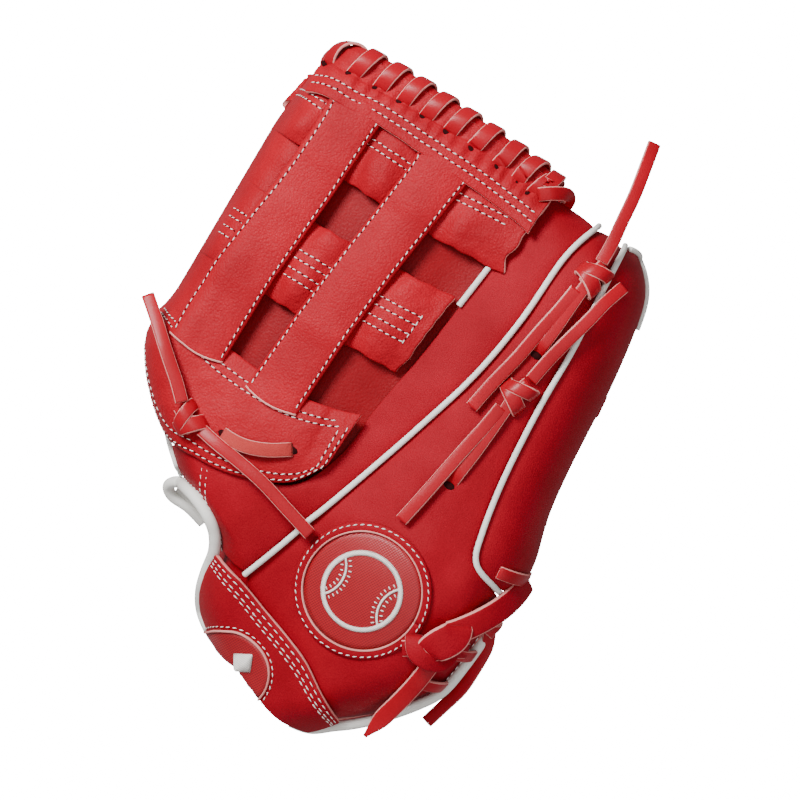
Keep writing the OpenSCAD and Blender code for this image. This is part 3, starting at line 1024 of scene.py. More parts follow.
@dataclass
class ThumbShell:
    """Back panels of the thumb half with their piping, badge and stitching."""

    leather: float = 2.4
    piping: float = 2.9
    puff: float = 1.6
    seam_dip: float = 1.7
    seam_reach: float = 3.2
    inner_edge: Curve = ((13, 121), (8, 95), (3, 60), (-2, 25), (-8, -8), (-12, -38), (-26, -62), (-60, -71),
                         (-86, -75), (-75, -87), (-59, -92), (-43, -106))
    inner_seam: Curve = ((41, 120), (34, 98), (31, 62), (25, 28), (14, -8), (3, -40), (-5, -62), (-9, -72),
                         (-11.5, -80), (-15, -90), (-18, -98), (-23, -111))
    center_left: Curve = ((41, 120), (34, 98), (31, 62), (25, 28), (14, -8), (3, -40), (-4, -60), (-9, -74),
                          (-14, -88), (-19, -102), (-20, -116), (8, -131), (40, -150))
    center_right: Curve = ((57, 119), (57, 98), (59, 62), (59, 30), (61, -6), (65, -34), (70, -49), (84, -55),
                           (93.5, -66), (92.5, -90), (89.5, -114), (71, -138), (52, -152))
    outer_seam: Curve = ((57, 119), (57, 98), (59, 62), (59, 30), (61, -6), (65, -34), (70, -49), (84, -55))
    outer_edge: Curve = ((66, 118), (79, 101), (85.5, 62), (87.5, 30), (90, -6), (96.5, -34), (97, -46),
                         (95, -54))
    badge_at: tuple[float, float] = (30, -88)
    badge_r: float = 28.5

    def build(self) -> None:
        """Build and dress every piece."""
        self.panels()
        self.pipings()
        self.badge()

    def lift(self, u: float, v: float, width: float, puff: float, left: bool = True,
             right: bool = True) -> float:
        """Crown between the seams, with the leather pulled down into each.

        Args:
            u: Place across, from 0 to 1.
            v: Place along, from 0 to 1; not used.
            width: Width of the panel there.
            puff: Height of its middle.
            left: Whether the left edge dips to a seam.
            right: Whether the right edge dips to a seam.

        Returns:
            Height over the skin.
        """
        dip = 0.0
        if left:
            dip += exp(-u * width / self.seam_reach)
        if right:
            dip += exp(-(1 - u) * width / self.seam_reach)
        return puff * max(0.0, sin(pi * u)) ** 0.7 - self.seam_dip * dip

    def panels(self) -> None:
        """The inner, centre and outer back panels."""

        def inner(u: float, v: float) -> Vector:
            """Point on the inner panel."""
            p = across(self.inner_edge, self.inner_seam, u, v)
            width = (spline(self.inner_edge, v) - spline(self.inner_seam, v)).length
            crease = 0.5 * wobble(p.x, p.y, 22, 3) + 0.25 * wobble(p.x, p.y, 9, 4)
            return SKIN.point(p.x, p.y, self.lift(u, v, width, 0.8, left=False) + crease - 0.4)

        obj = sheet("thumb_inner_panel_leather", inner, 34, 130, self.leather, ["back", "cut"])
        keep(obj, Half.THUMB, ["thumb_inner_panel"])

        def center(u: float, v: float) -> Vector:
            """Point on the centre panel."""
            p = across(self.center_left, self.center_right, u, v)
            width = (spline(self.center_left, v) - spline(self.center_right, v)).length
            crease = 0.9 * wobble(p.x, p.y, 34, 5) + 0.3 * wobble(p.x, p.y, 11, 6)
            crease -= 1.8 * exp(-((p.x - 62) / 10) ** 2 - ((p.y + 60) / 16) ** 2)
            return SKIN.point(p.x, p.y, self.lift(u, v, width, 0.6, right=v < 0.6) + crease - 0.4)

        obj = sheet("thumb_center_panel_leather", center, 44, 150, self.leather, ["back", "cut"])
        keep(obj, Half.THUMB, ["thumb_center_panel"])

        obj = sheet("thumb_outer_panel_leather", self.outer_at, 40, 110, self.leather, ["back", "cut"])
        keep(obj, Half.THUMB, ["thumb_outer_panel"])

    def outer_at(self, u: float, v: float) -> Vector:
        """Point on the outer panel, which turns under at its free edge.

        Args:
            u: Place across, from 0 to 1.
            v: Place along, from 0 to 1.

        Returns:
            The point, in plan millimetres.
        """
        top = min(1.0, u / 0.78)
        p = across(self.outer_seam, self.outer_edge, sin(top * pi / 2), v)
        width = (spline(self.outer_seam, v) - spline(self.outer_edge, v)).length * 1.5
        puff = self.puff * sin(pi * min(1.0, top)) + 0.3 * wobble(p.x, p.y, 30, 7)
        q = SKIN.point(p.x, p.y, puff - self.seam_dip * exp(-top * width / self.seam_reach))
        turn = max(0.0, (u - 0.78) / 0.22) * pi / 2
        return q + Vector((-15 * (1 - cos(turn)), 0, -11 * sin(turn)))

    def pipings(self) -> None:
        """The two long pipings, the tip piping and the short piece seen through the web."""
        runs = {
            "piping_inner_cord": (self.inner_seam, 0.35, "piping_inner", 0.0, 1.0),
            "piping_outer_cord": (tuple(self.outer_seam) + ((92, -57),), 0.35, "piping_outer", 0.0, 1.0),
            "web_side_piping": (self.inner_edge, 0.9, None, 0.06, 0.20),
        }
        for name, (curve, lift, node, start, stop) in runs.items():
            path = skin_path(curve, lift, 150, start, stop)
            obj = strand(name, path, self.piping, self.piping, ["trim", "trim"], sides=12, square=1.0)
            keep(obj, Half.THUMB, [node] if node else [])
        along = [(mix(0.12, 0.74, i / 30), 0.008) for i in range(31)]
        along += [(0.74, mix(0.008, 0.20, i / 30)) for i in range(1, 31)]
        path = []
        for u, v in along:
            p = self.outer_at(u, v)
            path.append((p + Vector((0.4, 0.8, 0.9)), SKIN.normal(p.x, p.y)))
        obj = strand("thumb_edge_piping_cord", path, self.piping, self.piping, ["trim", "trim"], sides=12,
                     square=1.0)
        keep(obj, Half.THUMB, ["thumb_edge_piping"])

    def ring_path(self, r: float, lift: float, steps: int = 96) -> Path:
        """A closed ring on the skin round the badge.

        Args:
            r: Radius of the ring.
            lift: Height over the skin.
            steps: Number of steps.

        Returns:
            Points with their upward directions.
        """
        cx, cy = self.badge_at
        path = []
        for i in range(steps + 1):
            a = 2 * pi * i / steps
            x, y = cx + r * cos(a), cy + r * sin(a)
            path.append((SKIN.point(x, y, lift), SKIN.normal(x, y)))
        return path

    def badge(self) -> None:
        """The round satin badge in its stitched leather window, with a ball emblem."""
        cx, cy = self.badge_at
        bm = bmesh.new()
        bmesh.ops.create_circle(bm, cap_ends=True, cap_tris=True, segments=64, radius=self.badge_r)
        bmesh.ops.subdivide_edges(bm, edges=[e for e in bm.edges if not e.is_boundary], cuts=9)
        for vert in bm.verts:
            x, y = cx + vert.co.x, cy + vert.co.y
            sink = 0.9 * (1 - (hypot(vert.co.x, vert.co.y) / self.badge_r) ** 4)
            vert.co = SKIN.point(x, y, 0.5 + 0.35 * sink + 0.12 * wobble(x, y, 9, 8))
        obj = finish_mesh("badge_satin_disc", bm, ["badge"], outward=False)
        solid = obj.modifiers.new("thickness", "SOLIDIFY")
        solid.thickness = 0.6 * MM
        solid.offset = -1.0
        keep(obj, Half.THUMB, ["thumb_badge"])
        bm = bmesh.new()
        add_strand(bm, self.ring_path(self.badge_r + 2.3, 0.5), 5.0, 2.2, sides=12, square=0.8, edge_slot=0)
        add_strand(bm, self.ring_path(self.badge_r + 0.2, 1.0), 0.9, 1.5, sides=8, square=0.8, face_slot=1)
        obj = finish_mesh("badge_window_rim", bm, ["back", "cut"])
        keep(obj, Half.THUMB)
        bm = bmesh.new()
        add_stitches(bm, self.ring_path(self.badge_r + 3.2, 1.65))
        keep(finish_mesh("badge_window_stitching", bm, ["thread"]), Half.THUMB)
        bm = bmesh.new()
        band = Thread(pitch=0.62, dash=0.75, width=3.2, height=0.8, slant=0.0)
        add_stitches(bm, self.ring_path(18.5, 1.15, 120), band)
        seam = Thread(pitch=0.62, dash=0.75, width=1.5, height=0.8, slant=0.0)
        for s in (-1, 1):
            path = []
            for i in range(41):
                a = radians(mix(-47, 47, i / 40))
                x, y = cx + s * (25 - 14.5 * cos(a)), cy + 14.5 * sin(a)
                path.append((SKIN.point(x, y, 1.15), SKIN.normal(x, y)))
            add_stitches(bm, path, seam)
            for aside in (-2.2, 2.2):
                add_stitches(bm, offset_path(path, aside), Thread(2.6, 0.7, 2.2, 0.7, 0.0))
        keep(finish_mesh("badge_ball_embroidery", bm, ["thread"]), Half.THUMB, ["badge_emblem"])


@dataclass
class Web:
    """The dual-post web: back panel, straps, posts, base pad, binding and whip lace."""

    leather: float = 2.6
    post_width: float = 29.0
    post_left: Curve = ((-86.5, 119), (-86.5, 108), (-90, 60), (-94, 15), (-96, -27))
    post_right: Curve = ((-37, 118), (-37.5, 101), (-44, 55), (-49, 12), (-52.5, -31))
    top_line: Curve = ((-112, 127), (-100, 131), (-75, 131.5), (-50, 129.5), (-25, 127.5), (0, 124.5),
                       (14, 121))
    base_top: Curve = ((-122, -15), (-104, -17), (-84, -19), (-64, -21), (-44, -22), (-26, -19), (-12, -15))
    base_foot: Curve = ((-121, -38), (-108, -55), (-90, -70), (-66, -73), (-44, -69), (-25, -60), (-14, -44))
    loops: int = 10
    # A strap's left top, left foot, right top and right foot, then how far its middle bows
    top_strap: tuple = (((-117, 118), (-118.4, 84), (14, 112), (12, 76)), -4.0)
    middle_strap: tuple = (((-118.4, 56), (-118.6, 14), (-1, 56), (-7, 10)), -2.0)

    def build(self) -> None:
        """Build and dress every piece."""
        self.back_panel()
        self.straps()
        self.base_pad()
        self.posts()
        self.top_binding()
        self.whip_lace()
        self.seams()

    def post_x(self, line: Curve, y: float) -> float:
        """Where a post's middle lies at a place along the web.

        Args:
            line: Middle line of the post.
            y: Plan place along, in millimetres.

        Returns:
            How far across the post lies.
        """
        q = min(1.0, max(0.0, (line[0][1] - y) / (line[0][1] - line[-1][1])))
        return spline(line, q).x

    def wave(self, x: float, y: float) -> float:
        """Straps dip under the posts and puff up beside them.

        Args:
            x: Plan place across, in millimetres.
            y: Plan place along, in millimetres.

        Returns:
            Unevenness of the web in millimetres.
        """
        gap = min(abs(x - self.post_x(self.post_left, y)), abs(x - self.post_x(self.post_right, y)))
        return 2.4 * ramp(gap, 12, 24)

    def back_panel(self) -> None:
        """The panel behind the web, in the darker palm finish that paints the shade on it."""

        def at(u: float, v: float) -> Vector:
            """Point on this piece."""
            y = mix(131, -48, v)
            right = Skin.lookup(((-50, -14), (0, 0), (60, 12), (131, 20)), y)
            left = SKIN.outline(SKIN.left, y) + 0.6
            x = mix(left, right, 1 - sin(pi / 2 * (1 - u)))
            return SKIN.point(x, y, -3.2 + 0.25 * wobble(x, y, 20, 9))

        obj = sheet("web_back_panel_leather", at, 40, 60, 2.4, ["palm", "cut"])
        keep(obj, Half.THUMB, ["web_back_panel"])

    def strap_at(self, corners: tuple, bend: float, u: float, v: float, puff: float) -> Vector:
        """Point on a strap across the web, with creases that run out from the posts and curled edges.

        Args:
            corners: Its left top, left foot, right top and right foot.
            bend: How far its middle bows.
            u: Place across, from 0 to 1.
            v: Place along, from 0 to 1.
            puff: Height of its middle.

        Returns:
            The point, in plan millimetres.
        """
        lt, lf, rt, rf = (Vector(c) for c in corners)
        s = 1 - sin(pi / 2 * (1 - u))
        p = mix(mix(lt, rt, s), mix(lf, rf, s), v) + Vector((0, bend * sin(pi * s)))
        p.y += (1.6 * wobble(p.x, v, 13, 21) + 0.8 * wobble(p.x, v, 6, 22)) * abs(2 * v - 1)
        left, right = self.post_x(self.post_left, p.y), self.post_x(self.post_right, p.y)
        near = min(abs(p.x - left), abs(p.x - right))
        free = ramp(near, 12, 20)
        # A crease starts narrow at a post and opens away from it
        spread = max(6.0, near)
        fade = 1 - ramp(near, 16, 46)
        crease = sin((v - 0.5) * 150 / spread + 2.2 * wobble(p.x, p.y, 30, 23)) * free * fade
        edge = 1.5 * (exp(-v * 9) + exp(-(1 - v) * 9))
        swell = puff * max(0.0, sin(pi * v)) ** 0.7 * (0.5 + free)
        fine = 0.45 * wobble(p.x, p.y, 9, 10) + 0.25 * wobble(p.x, p.y, 4, 24)
        lift = 2.9 + self.wave(p.x, p.y) - edge + swell + 1.1 * crease + fine * (0.4 + 0.6 * free)
        lift = mix(4.0, lift, ramp(p.x - SKIN.outline(SKIN.left, p.y), 1, 16))
        end = ramp(u, 0.9, 1.0)
        p = p + Vector((2.2 * wobble(0, p.y, 8, 11) * end, 0))
        return SKIN.point(p.x, p.y, lift - 2.2 * end)

    def straps(self) -> None:
        """The top and middle straps."""
        for name, (corners, bend), node in (
            ("web_top_strap_leather", self.top_strap, "web_top_strap"),
            ("web_middle_strap_leather", self.middle_strap, "web_middle_strap"),
        ):
            obj = sheet(name, lambda u, v, c=corners, b=bend: self.strap_at(c, b, u, v, 1.5), 120, 40,
                        self.leather, ["web", "cut"])
            keep(obj, Half.THUMB, [node])

    def base_lift(self, u: float, v: float) -> float:
        """Padding of the web base, flattened at its sewn edges.

        Args:
            u: Place across, from 0 to 1.
            v: Place along, from 0 to 1.

        Returns:
            Height over the skin.
        """
        return 2.8 + 2.6 * max(0.0, sin(pi * v)) ** 0.6 * mix(0.6, 1.0, sin(pi * u))

    def base_point(self, u: float, v: float) -> Vector:
        """Plan point of the web base.

        Args:
            u: Place across, from 0 to 1.
            v: Place along, from 0 to 1.

        Returns:
            The plan point on the base pad.
        """
        return mix(spline(self.base_top, u), spline(self.base_foot, u), v)

    def base_at(self, u: float, v: float) -> Vector:
        """Point on the web base, whose right end curls up.

        Args:
            u: Place across, from 0 to 1.
            v: Place along, from 0 to 1.

        Returns:
            The point, in plan millimetres.
        """
        p = self.base_point(u, v)
        curl = 4.0 * ramp(u, 0.86, 0.97) * (1 - 0.6 * v)
        crease = 0.9 * exp(-((u - 0.84) / 0.02) ** 2) * (1 - v)
        fine = 0.5 * wobble(p.x, p.y, 12, 12) + 0.2 * wobble(p.x, p.y, 5, 31)
        return SKIN.point(p.x, p.y, self.base_lift(u, v) + curl - crease + fine)

    def base_pad(self) -> None:
        """The padded web base with its suede bar."""
        obj = sheet("web_base_pad_leather", self.base_at, 80, 40, self.leather, ["web", "cut"])
        keep(obj, Half.THUMB, ["web_base_pad"])
        path = []
        for i in range(25):
            q = i / 24
            p = spline(((-64, -56.5), (-56, -56.5), (-48, -55), (-40, -51.5), (-32.5, -46.5)), q)
            path.append((SKIN.point(p.x, p.y, 5.0 + 3.4 * sin(pi * q) ** 0.5), SKIN.normal(p.x, p.y)))
        keep(strand("web_base_bar", path, 7.0, 2.4, ["flesh", "cut"], square=0.45), Half.THUMB,
             ["web_base_lace"])
        self.fold_cover()

    def fold_cover(self) -> None:
        """The leather that closes the web at its fold, where the straps run round it."""

        def at(u: float, v: float) -> Vector:
            """Point on this piece."""
            y = mix(118, -22, v)
            x = SKIN.outline(SKIN.left, y) + 0.4 + 24 * (1 - sin(pi / 2 * (1 - u)))
            back = ramp(x - SKIN.outline(SKIN.left, y), 3, 20)
            crease = 0.6 * wobble(x, y, 12, 32) + 0.7 * sin(y / 5.5 + 2 * wobble(x, y, 20, 33)) * back
            return SKIN.point(x, y, mix(3.9, -1.6, back) + crease * ramp(back, 0.0, 0.5))

        keep(sheet("web_fold_leather", at, 26, 80, 2.0, ["web", "cut"]), Half.THUMB)

    def posts(self) -> None:
        """The two posts over the straps."""
        for name, line, node in (
            ("web_post_left_leather", self.post_left, "web_post_left"),
            ("web_post_right_leather", self.post_right, "web_post_right"),
        ):
            obj = sheet(name, lambda u, v, c=line: self.post_at(c, u, v), 22, 110, self.leather,
                        ["web", "cut"])
            keep(obj, Half.THUMB, [node])
            edge = self.row(lambda q, c=line: self.post_at(c, q, 0.998), 0.03, 0.97, 30)
            lowered = [(p - n * 1.2, n) for p, n in edge]
            keep(strand(f"{node}_raw_edge", lowered, 1.3, 2.0, ["cut", "cut"], sides=8, square=0.7),
                 Half.THUMB)

    def post_at(self, line: Curve, u: float, v: float) -> Vector:
        """Point on a post.

        Args:
            line: Middle line of the post.
            u: Place across, from 0 to 1.
            v: Place along, from 0 to 1.

        Returns:
            The point, in plan millimetres.
        """
        p = spline(line, v)
        half = self.post_width / 2 * (1 + 0.1 * (1 - ramp(v, 0, 0.3)) - 0.06 * sin(pi * v))
        x = p.x + mix(-half, half, u)
        y = p.y - 2.5 * sin(pi * u) * ramp(v, 0.9, 1.0)
        crown = 1.5 * sin(pi * u) ** 0.6 - 0.7 * exp(-u * 14) - 0.7 * exp(-(1 - u) * 14)
        over = 1.0 * (ramp(y, 0, 12) - ramp(y, 52, 62) + ramp(y, 74, 84))
        tuck = 3.0 * (1 - ramp(v, 0.07, 0.17))
        return SKIN.point(x, y, 6.0 + crown + over - tuck + 0.4 * wobble(x, y, 14, 13))

    def top_binding(self) -> None:
        """The rolled leather edge along the web's top."""
        path = []
        for i in range(121):
            p = spline(self.top_line, i / 120)
            path.append((SKIN.point(p.x, p.y + 1, 1.5 + 0.5 * wobble(p.x, p.y, 8, 14)),
                         SKIN.normal(p.x, p.y)))
        obj = strand("web_top_roll", path, 13.0, 9.0, ["web", "web"], sides=20, square=0.9)
        keep(obj, Half.THUMB, ["web_top_binding"])

        obj = sheet("web_top_apron", self.apron_at, 120, 30, 2.2, ["web", "cut"])
        keep(obj, Half.THUMB)

    def apron_at(self, u: float, v: float) -> Vector:
        """Point on the leather that folds down from the web's top over the posts.

        Args:
            u: Place across, from 0 to 1.
            v: Place along, from 0 to 1.

        Returns:
            The point, in plan millimetres.
        """
        top = spline(self.top_line, mix(0.05, 1.0, u))
        drop = 27 * v
        x, y = top.x + 0.05 * drop, top.y + 4 - drop - 1.2 * wobble(top.x, 0, 14, 15) * v
        sewn = exp(-((drop - 18) / 1.6) ** 2) + exp(-((drop - 22) / 1.6) ** 2)
        pucker = 0.6 * sin(x * 0.9 + 2 * wobble(x, 0, 12, 30)) * ramp(drop, 4, 12) * (1 - ramp(drop, 15, 19))
        lift = 6.4 + 2.0 * ramp(drop, 8, 18) - 0.5 * sewn + pucker + 0.4 * wobble(x, y, 9, 16)
        return SKIN.point(x, y, lift)

    def whip_lace(self) -> None:
        """Slanting loops of lace over the rolled edge, each out of a hole that is drawn as a dark spot of
        painted shade.
        """
        bm = bmesh.new()
        holes = bmesh.new()
        for i in range(self.loops):
            p = spline(self.top_line, mix(0.12, 0.915, i / (self.loops - 1)))
            path = []
            for k in range(29):
                a = radians(mix(20, 232, k / 28))
                x = p.x - 2.2 + 7.0 * k / 28
                y = p.y + 0.5 - 8.2 * cos(a)
                lift = 2.2 + 6.9 * sin(a)
                centre = SKIN.point(x, p.y + 0.5, 2.2)
                here = SKIN.point(x, y, lift)
                path.append((here, (here - centre).normalized()))
            add_strand(bm, path, 7.6, 1.8, sides=14, square=0.45)
            # A near-black flat spot at each loop's foot is painted shade for the hole the lace comes out of.
            foot = SKIN.point(p.x - 2.6, p.y - 8.3, 6.5)
            half = (Vector((2.7, -0.6, 0)), Vector((0.4, 1.7, 0)), Vector((0, 0, 0.7)))
            bmesh.ops.create_icosphere(holes, subdivisions=2, radius=1.0, matrix=thread_matrix(foot, *half))
        corner = [SKIN.point(*place) for place in
                  ((9, 116, 8.6), (13, 118, 9.4), (18, 120, 7.4), (22, 121, 2), (22, 120, -5))]
        leaning = Vector((0.4, 0, 1)).normalized()
        path = [(spline(corner, i / 16), leaning) for i in range(17)]
        add_strand(bm, path, 6.8, 1.8, sides=14, square=0.45)
        keep(finish_mesh("web_whip_lace_loops", bm, ["lace", "cut"]), Half.THUMB, ["web_whip_lace"])
        keep(finish_mesh("web_lace_hole_shades", holes, ["hole"]), Half.THUMB)

    def seams(self) -> None:
        """Every stitched row of the web, with a dark spot of painted shade for each needle hole."""
        rows = []
        for line in (self.post_left, self.post_right):
            rows += [self.row(lambda q, c=line, w=u: self.post_at(c, w, q), 0.09, 0.985, 60)
                     for u in (0.075, 0.925)]
        rows += [self.row(lambda q, w=drop: self.apron_at(q, w / 27), 0.03, 0.97, 80) for drop in (18, 22)]
        for v in (0.16, 0.24):
            rows.append(self.row(lambda q, w=v: self.base_at(q, w), 0.05, 0.9, 80))
        for aside in (0.045, 0.115):
            def around(q: float, w: float = aside) -> Vector:
                """Point of a row along the base's foot and up its right end."""
                turn = min(1.0, q / 0.88)
                rise = max(0.0, (q - 0.88) / 0.12)
                return self.base_at(mix(0.03, 0.985 - w * 0.6, turn), mix(1 - w, 0.26, rise))

            rows.append(self.row(around, 0.0, 1.0, 110))
        for u0, u1 in ((0.22, 0.34), (0.56, 0.68), (0.84, 0.96)):
            for v in (0.36, 0.46, 0.58, 0.68):
                rows.append(self.row(lambda q, w=v: self.strap_at(*self.middle_strap, q, w, 1.5), u0, u1, 14))
            rows.append(self.row(lambda q, w=u1: self.strap_at(*self.middle_strap, w, q, 1.5), 0.36, 0.68, 8))
        for v in (0.30, 0.40):
            rows.append(self.row(lambda q, w=v: self.strap_at(*self.top_strap, q, w, 1.5), 0.12, 0.95, 70))
        # Needle holes are near-black spots of painted shade laid over the leather.
        threads, holes = bmesh.new(), bmesh.new()
        for row in rows:
            add_stitches(threads, row)
            add_needle_hole_shades(holes, row)
        keep(finish_mesh("web_stitching", threads, ["thread"]), Half.THUMB)
        keep(finish_mesh("web_needle_hole_shades", holes, ["hole"]), Half.THUMB)

    def row(self, at: Callable[[float], Vector], start: float, stop: float, steps: int) -> Path:
        """Places just over a surface line.

        Args:
            at: Point by place along.
            start: Where to start.
            stop: Where to stop.
            steps: Number of steps.

        Returns:
            Points with their upward directions.
        """
        return [self.raised(at, mix(start, stop, i / steps)) for i in range(steps + 1)]

    @staticmethod
    def raised(at: Callable[[float], Vector], q: float) -> tuple[Vector, Vector]:
        """A place just over a surface line, with the skin's normal.

        Args:
            at: Point by place along.
            q: Place along.

        Returns:
            The raised point and the skin's normal there.
        """
        p = at(q)
        n = SKIN.normal(p.x, p.y)
        return p + n * 0.22, n


# ---------------------------------------------------------------- laces


@dataclass(frozen=True)
class Tail:
    """One free lace tail.

    Attributes:
        node: CAD node that it stands for.
        route: Points of its middle line in plan millimetres, as in the design.
        width: Width in millimetres.
        pointed: Whether its end is cut to a point.
    """

    node: str
    route: Curve
    width: float = 6.4
    pointed: bool = False


@dataclass
class Laces:
    """Free lace tails, knots and the strands between holes."""

    thick: float = 2.6
    tails: Sequence[Tail] = (
        Tail("tip_tail_up", ((50, 104, 114), (50, 114, 112), (49, 126, 109), (48, 140, 106), (46, 154, 103),
                             (44, 167, 100))),
        Tail("tip_tail_down", ((46, 87, 115), (44, 75, 114.5), (41, 61, 114), (38, 45, 113.5), (34, 29, 113),
                               (31, 14, 112.5))),
        Tail("thumb_tail_up", ((49, 39, 115), (51, 50, 116), (54, 62, 117), (58, 76, 117), (61, 88, 116),
                               (65, 99, 112))),
        Tail("thumb_tail_down", ((43, 21, 115), (41, 9, 114.5), (38, -5, 114), (35, -20, 113.5),
                                 (32, -35, 113), (29, -49, 112))),
        Tail("web_tail_left", ((-90, -53, 98.5), (-97, -46, 98), (-104, -40, 97), (-112, -33, 95),
                               (-120, -26, 91), (-131, -17, 85))),
        Tail("web_tail_right", ((-75, -60, 97), (-65, -62, 99.5), (-52, -64, 101), (-37, -67, 102.5),
                                (-21, -72, 102.5), (-5, -77, 102))),
        Tail("heel_tail", ((94, -76, 82), (97, -84, 76), (97.5, -96, 71), (97, -108, 66), (94, -120, 61),
                           (91, -131, 57))),
        Tail("heel_tie_tail", ((76, -92, 103), (76, -101, 99), (75, -112, 94), (73, -124, 87), (70, -137, 81),
                               (67, -150, 77)), 9.0, True),
    )

    def build(self) -> None:
        """Build and dress every piece."""
        for tail in self.tails:
            self.tail(tail)
        self.knot("tip_knot_turns", (49.5, 96), 72, "tip_knot", 1.2)
        self.knot("thumb_knot_turns", (46.5, 30.5), 70, "thumb_knot", 1.2)
        self.knot("web_knot_turns", (-82.5, -59), 150, "web_knot", 1.2, 4.5)
        self.links()

    def tail(self, tail: Tail) -> None:
        """One free tail along its route.

        Args:
            tail: Route and size of the tail.
        """
        steps = 40
        points = [spline(tail.route, i / steps) for i in range(steps + 1)]
        path = []
        for i, p in enumerate(points):
            tilt = 0.18 * sin(3.1 * i / steps + len(tail.node))
            path.append((p, Vector((tilt, 0.1, 1.0)).normalized()))
        length = sum((b - a).length for a, b in zip(points, points[1:])) * MM
        taper = (lambda q: 1 - 0.75 * ramp(q, 0.8, 1.0)) if tail.pointed else None
        obj = strand(f"{tail.node}_lace", path, tail.width, self.thick, ["lace", "cut"], square=0.45,
                     taper=taper)
        exit_point = to_frame(points[0])
        [tuple(to_frame(p)) for p in points]
        keep(obj, Half.THUMB, [tail.node])

    def knot(self, name: str, at: tuple[float, float], turn: float, node: str | None, size: float,
             lift: float = 0.0, finish: str = "lace") -> None:
        """A knot: a collar over the tails and a crossing turn.

        Args:
            name: Name of the piece.
            at: Plan point of its middle.
            turn: Direction of the tails in degrees from across.
            node: CAD node that it stands for.
            size: Scale of the knot.
            lift: Extra height over the skin in millimetres.
            finish: Finish of the lace.
        """
        base = SKIN.point(at[0], at[1], 0.6 + lift)
        up = SKIN.normal(*at)
        along = Vector((cos(radians(turn)), sin(radians(turn)), 0.0))
        along = (along - up * along.dot(up)).normalized()
        side = up.cross(along)

        def arc(skew: float, wide: float, tall: float, start: float, stop: float, slide: float) -> Path:
            """One turn of the lace round the knot."""
            path = []
            for i in range(25):
                a = radians(mix(start, stop, i / 24))
                out = side * cos(a) * wide * size + up * sin(a) * tall * size
                centre = base + along * (slide + skew * cos(a)) * size
                path.append((centre + out, out.normalized()))
            return path

        bm = bmesh.new()
        add_strand(bm, arc(1.6, 5.6, 4.8, -35, 215, -2.4), 6.4 * size, 2.4, square=0.55)
        add_strand(bm, arc(-2.6, 5.2, 5.4, -25, 205, 1.8), 5.4 * size, 2.4, square=0.55)
        core = [(base + along * mix(-5, 6, i / 8) * size + up * 2.2, up) for i in range(9)]
        add_strand(bm, core, 6.0 * size, 4.2, square=0.8)
        obj = finish_mesh(name, bm, [finish, "cut", "flesh"])
        keep(obj, Half.THUMB, [node] if node else [])

    def links(self) -> None:
        """Laces that run from the knots back into their holes, and dark spots of painted shade at the holes.
        """
        runs = {
            "tip_lace_link": (((49, 92), (48, 80), (47, 66), (45.5, 52)), 1.6),
            "thumb_lace_link": (((46, 26), (45, 12), (43.5, -4), (41, -22)), 1.6),
        }
        for name, (route, lift) in runs.items():
            path = skin_path(route, lambda q, h=lift: h + 1.6 * (1 - q) - 2.6 * ramp(q, 0.85, 1.0), 30)
            keep(strand(name, path, 6.0, 2.2, ["lace", "cut"], square=0.45), Half.THUMB)
        # Near-black flat spots paint the shade of the holes where the laces go in.
        bm = bmesh.new()
        for x, y, lift in ((45.3, 50.5, 0.3), (40.6, -23.5, 0.3), (-64, -56.3, 5.4), (-32, -46.5, 5.2)):
            matrix = Matrix.Translation(SKIN.point(x, y, lift)) @ Matrix.Diagonal((3.0, 1.8, 0.6, 1.0))
            bmesh.ops.create_icosphere(bm, subdivisions=2, radius=1.0, matrix=matrix)
        keep(finish_mesh("lace_hole_shades", bm, ["hole"]), Half.THUMB)


# ---------------------------------------------------------------- wrist and heel


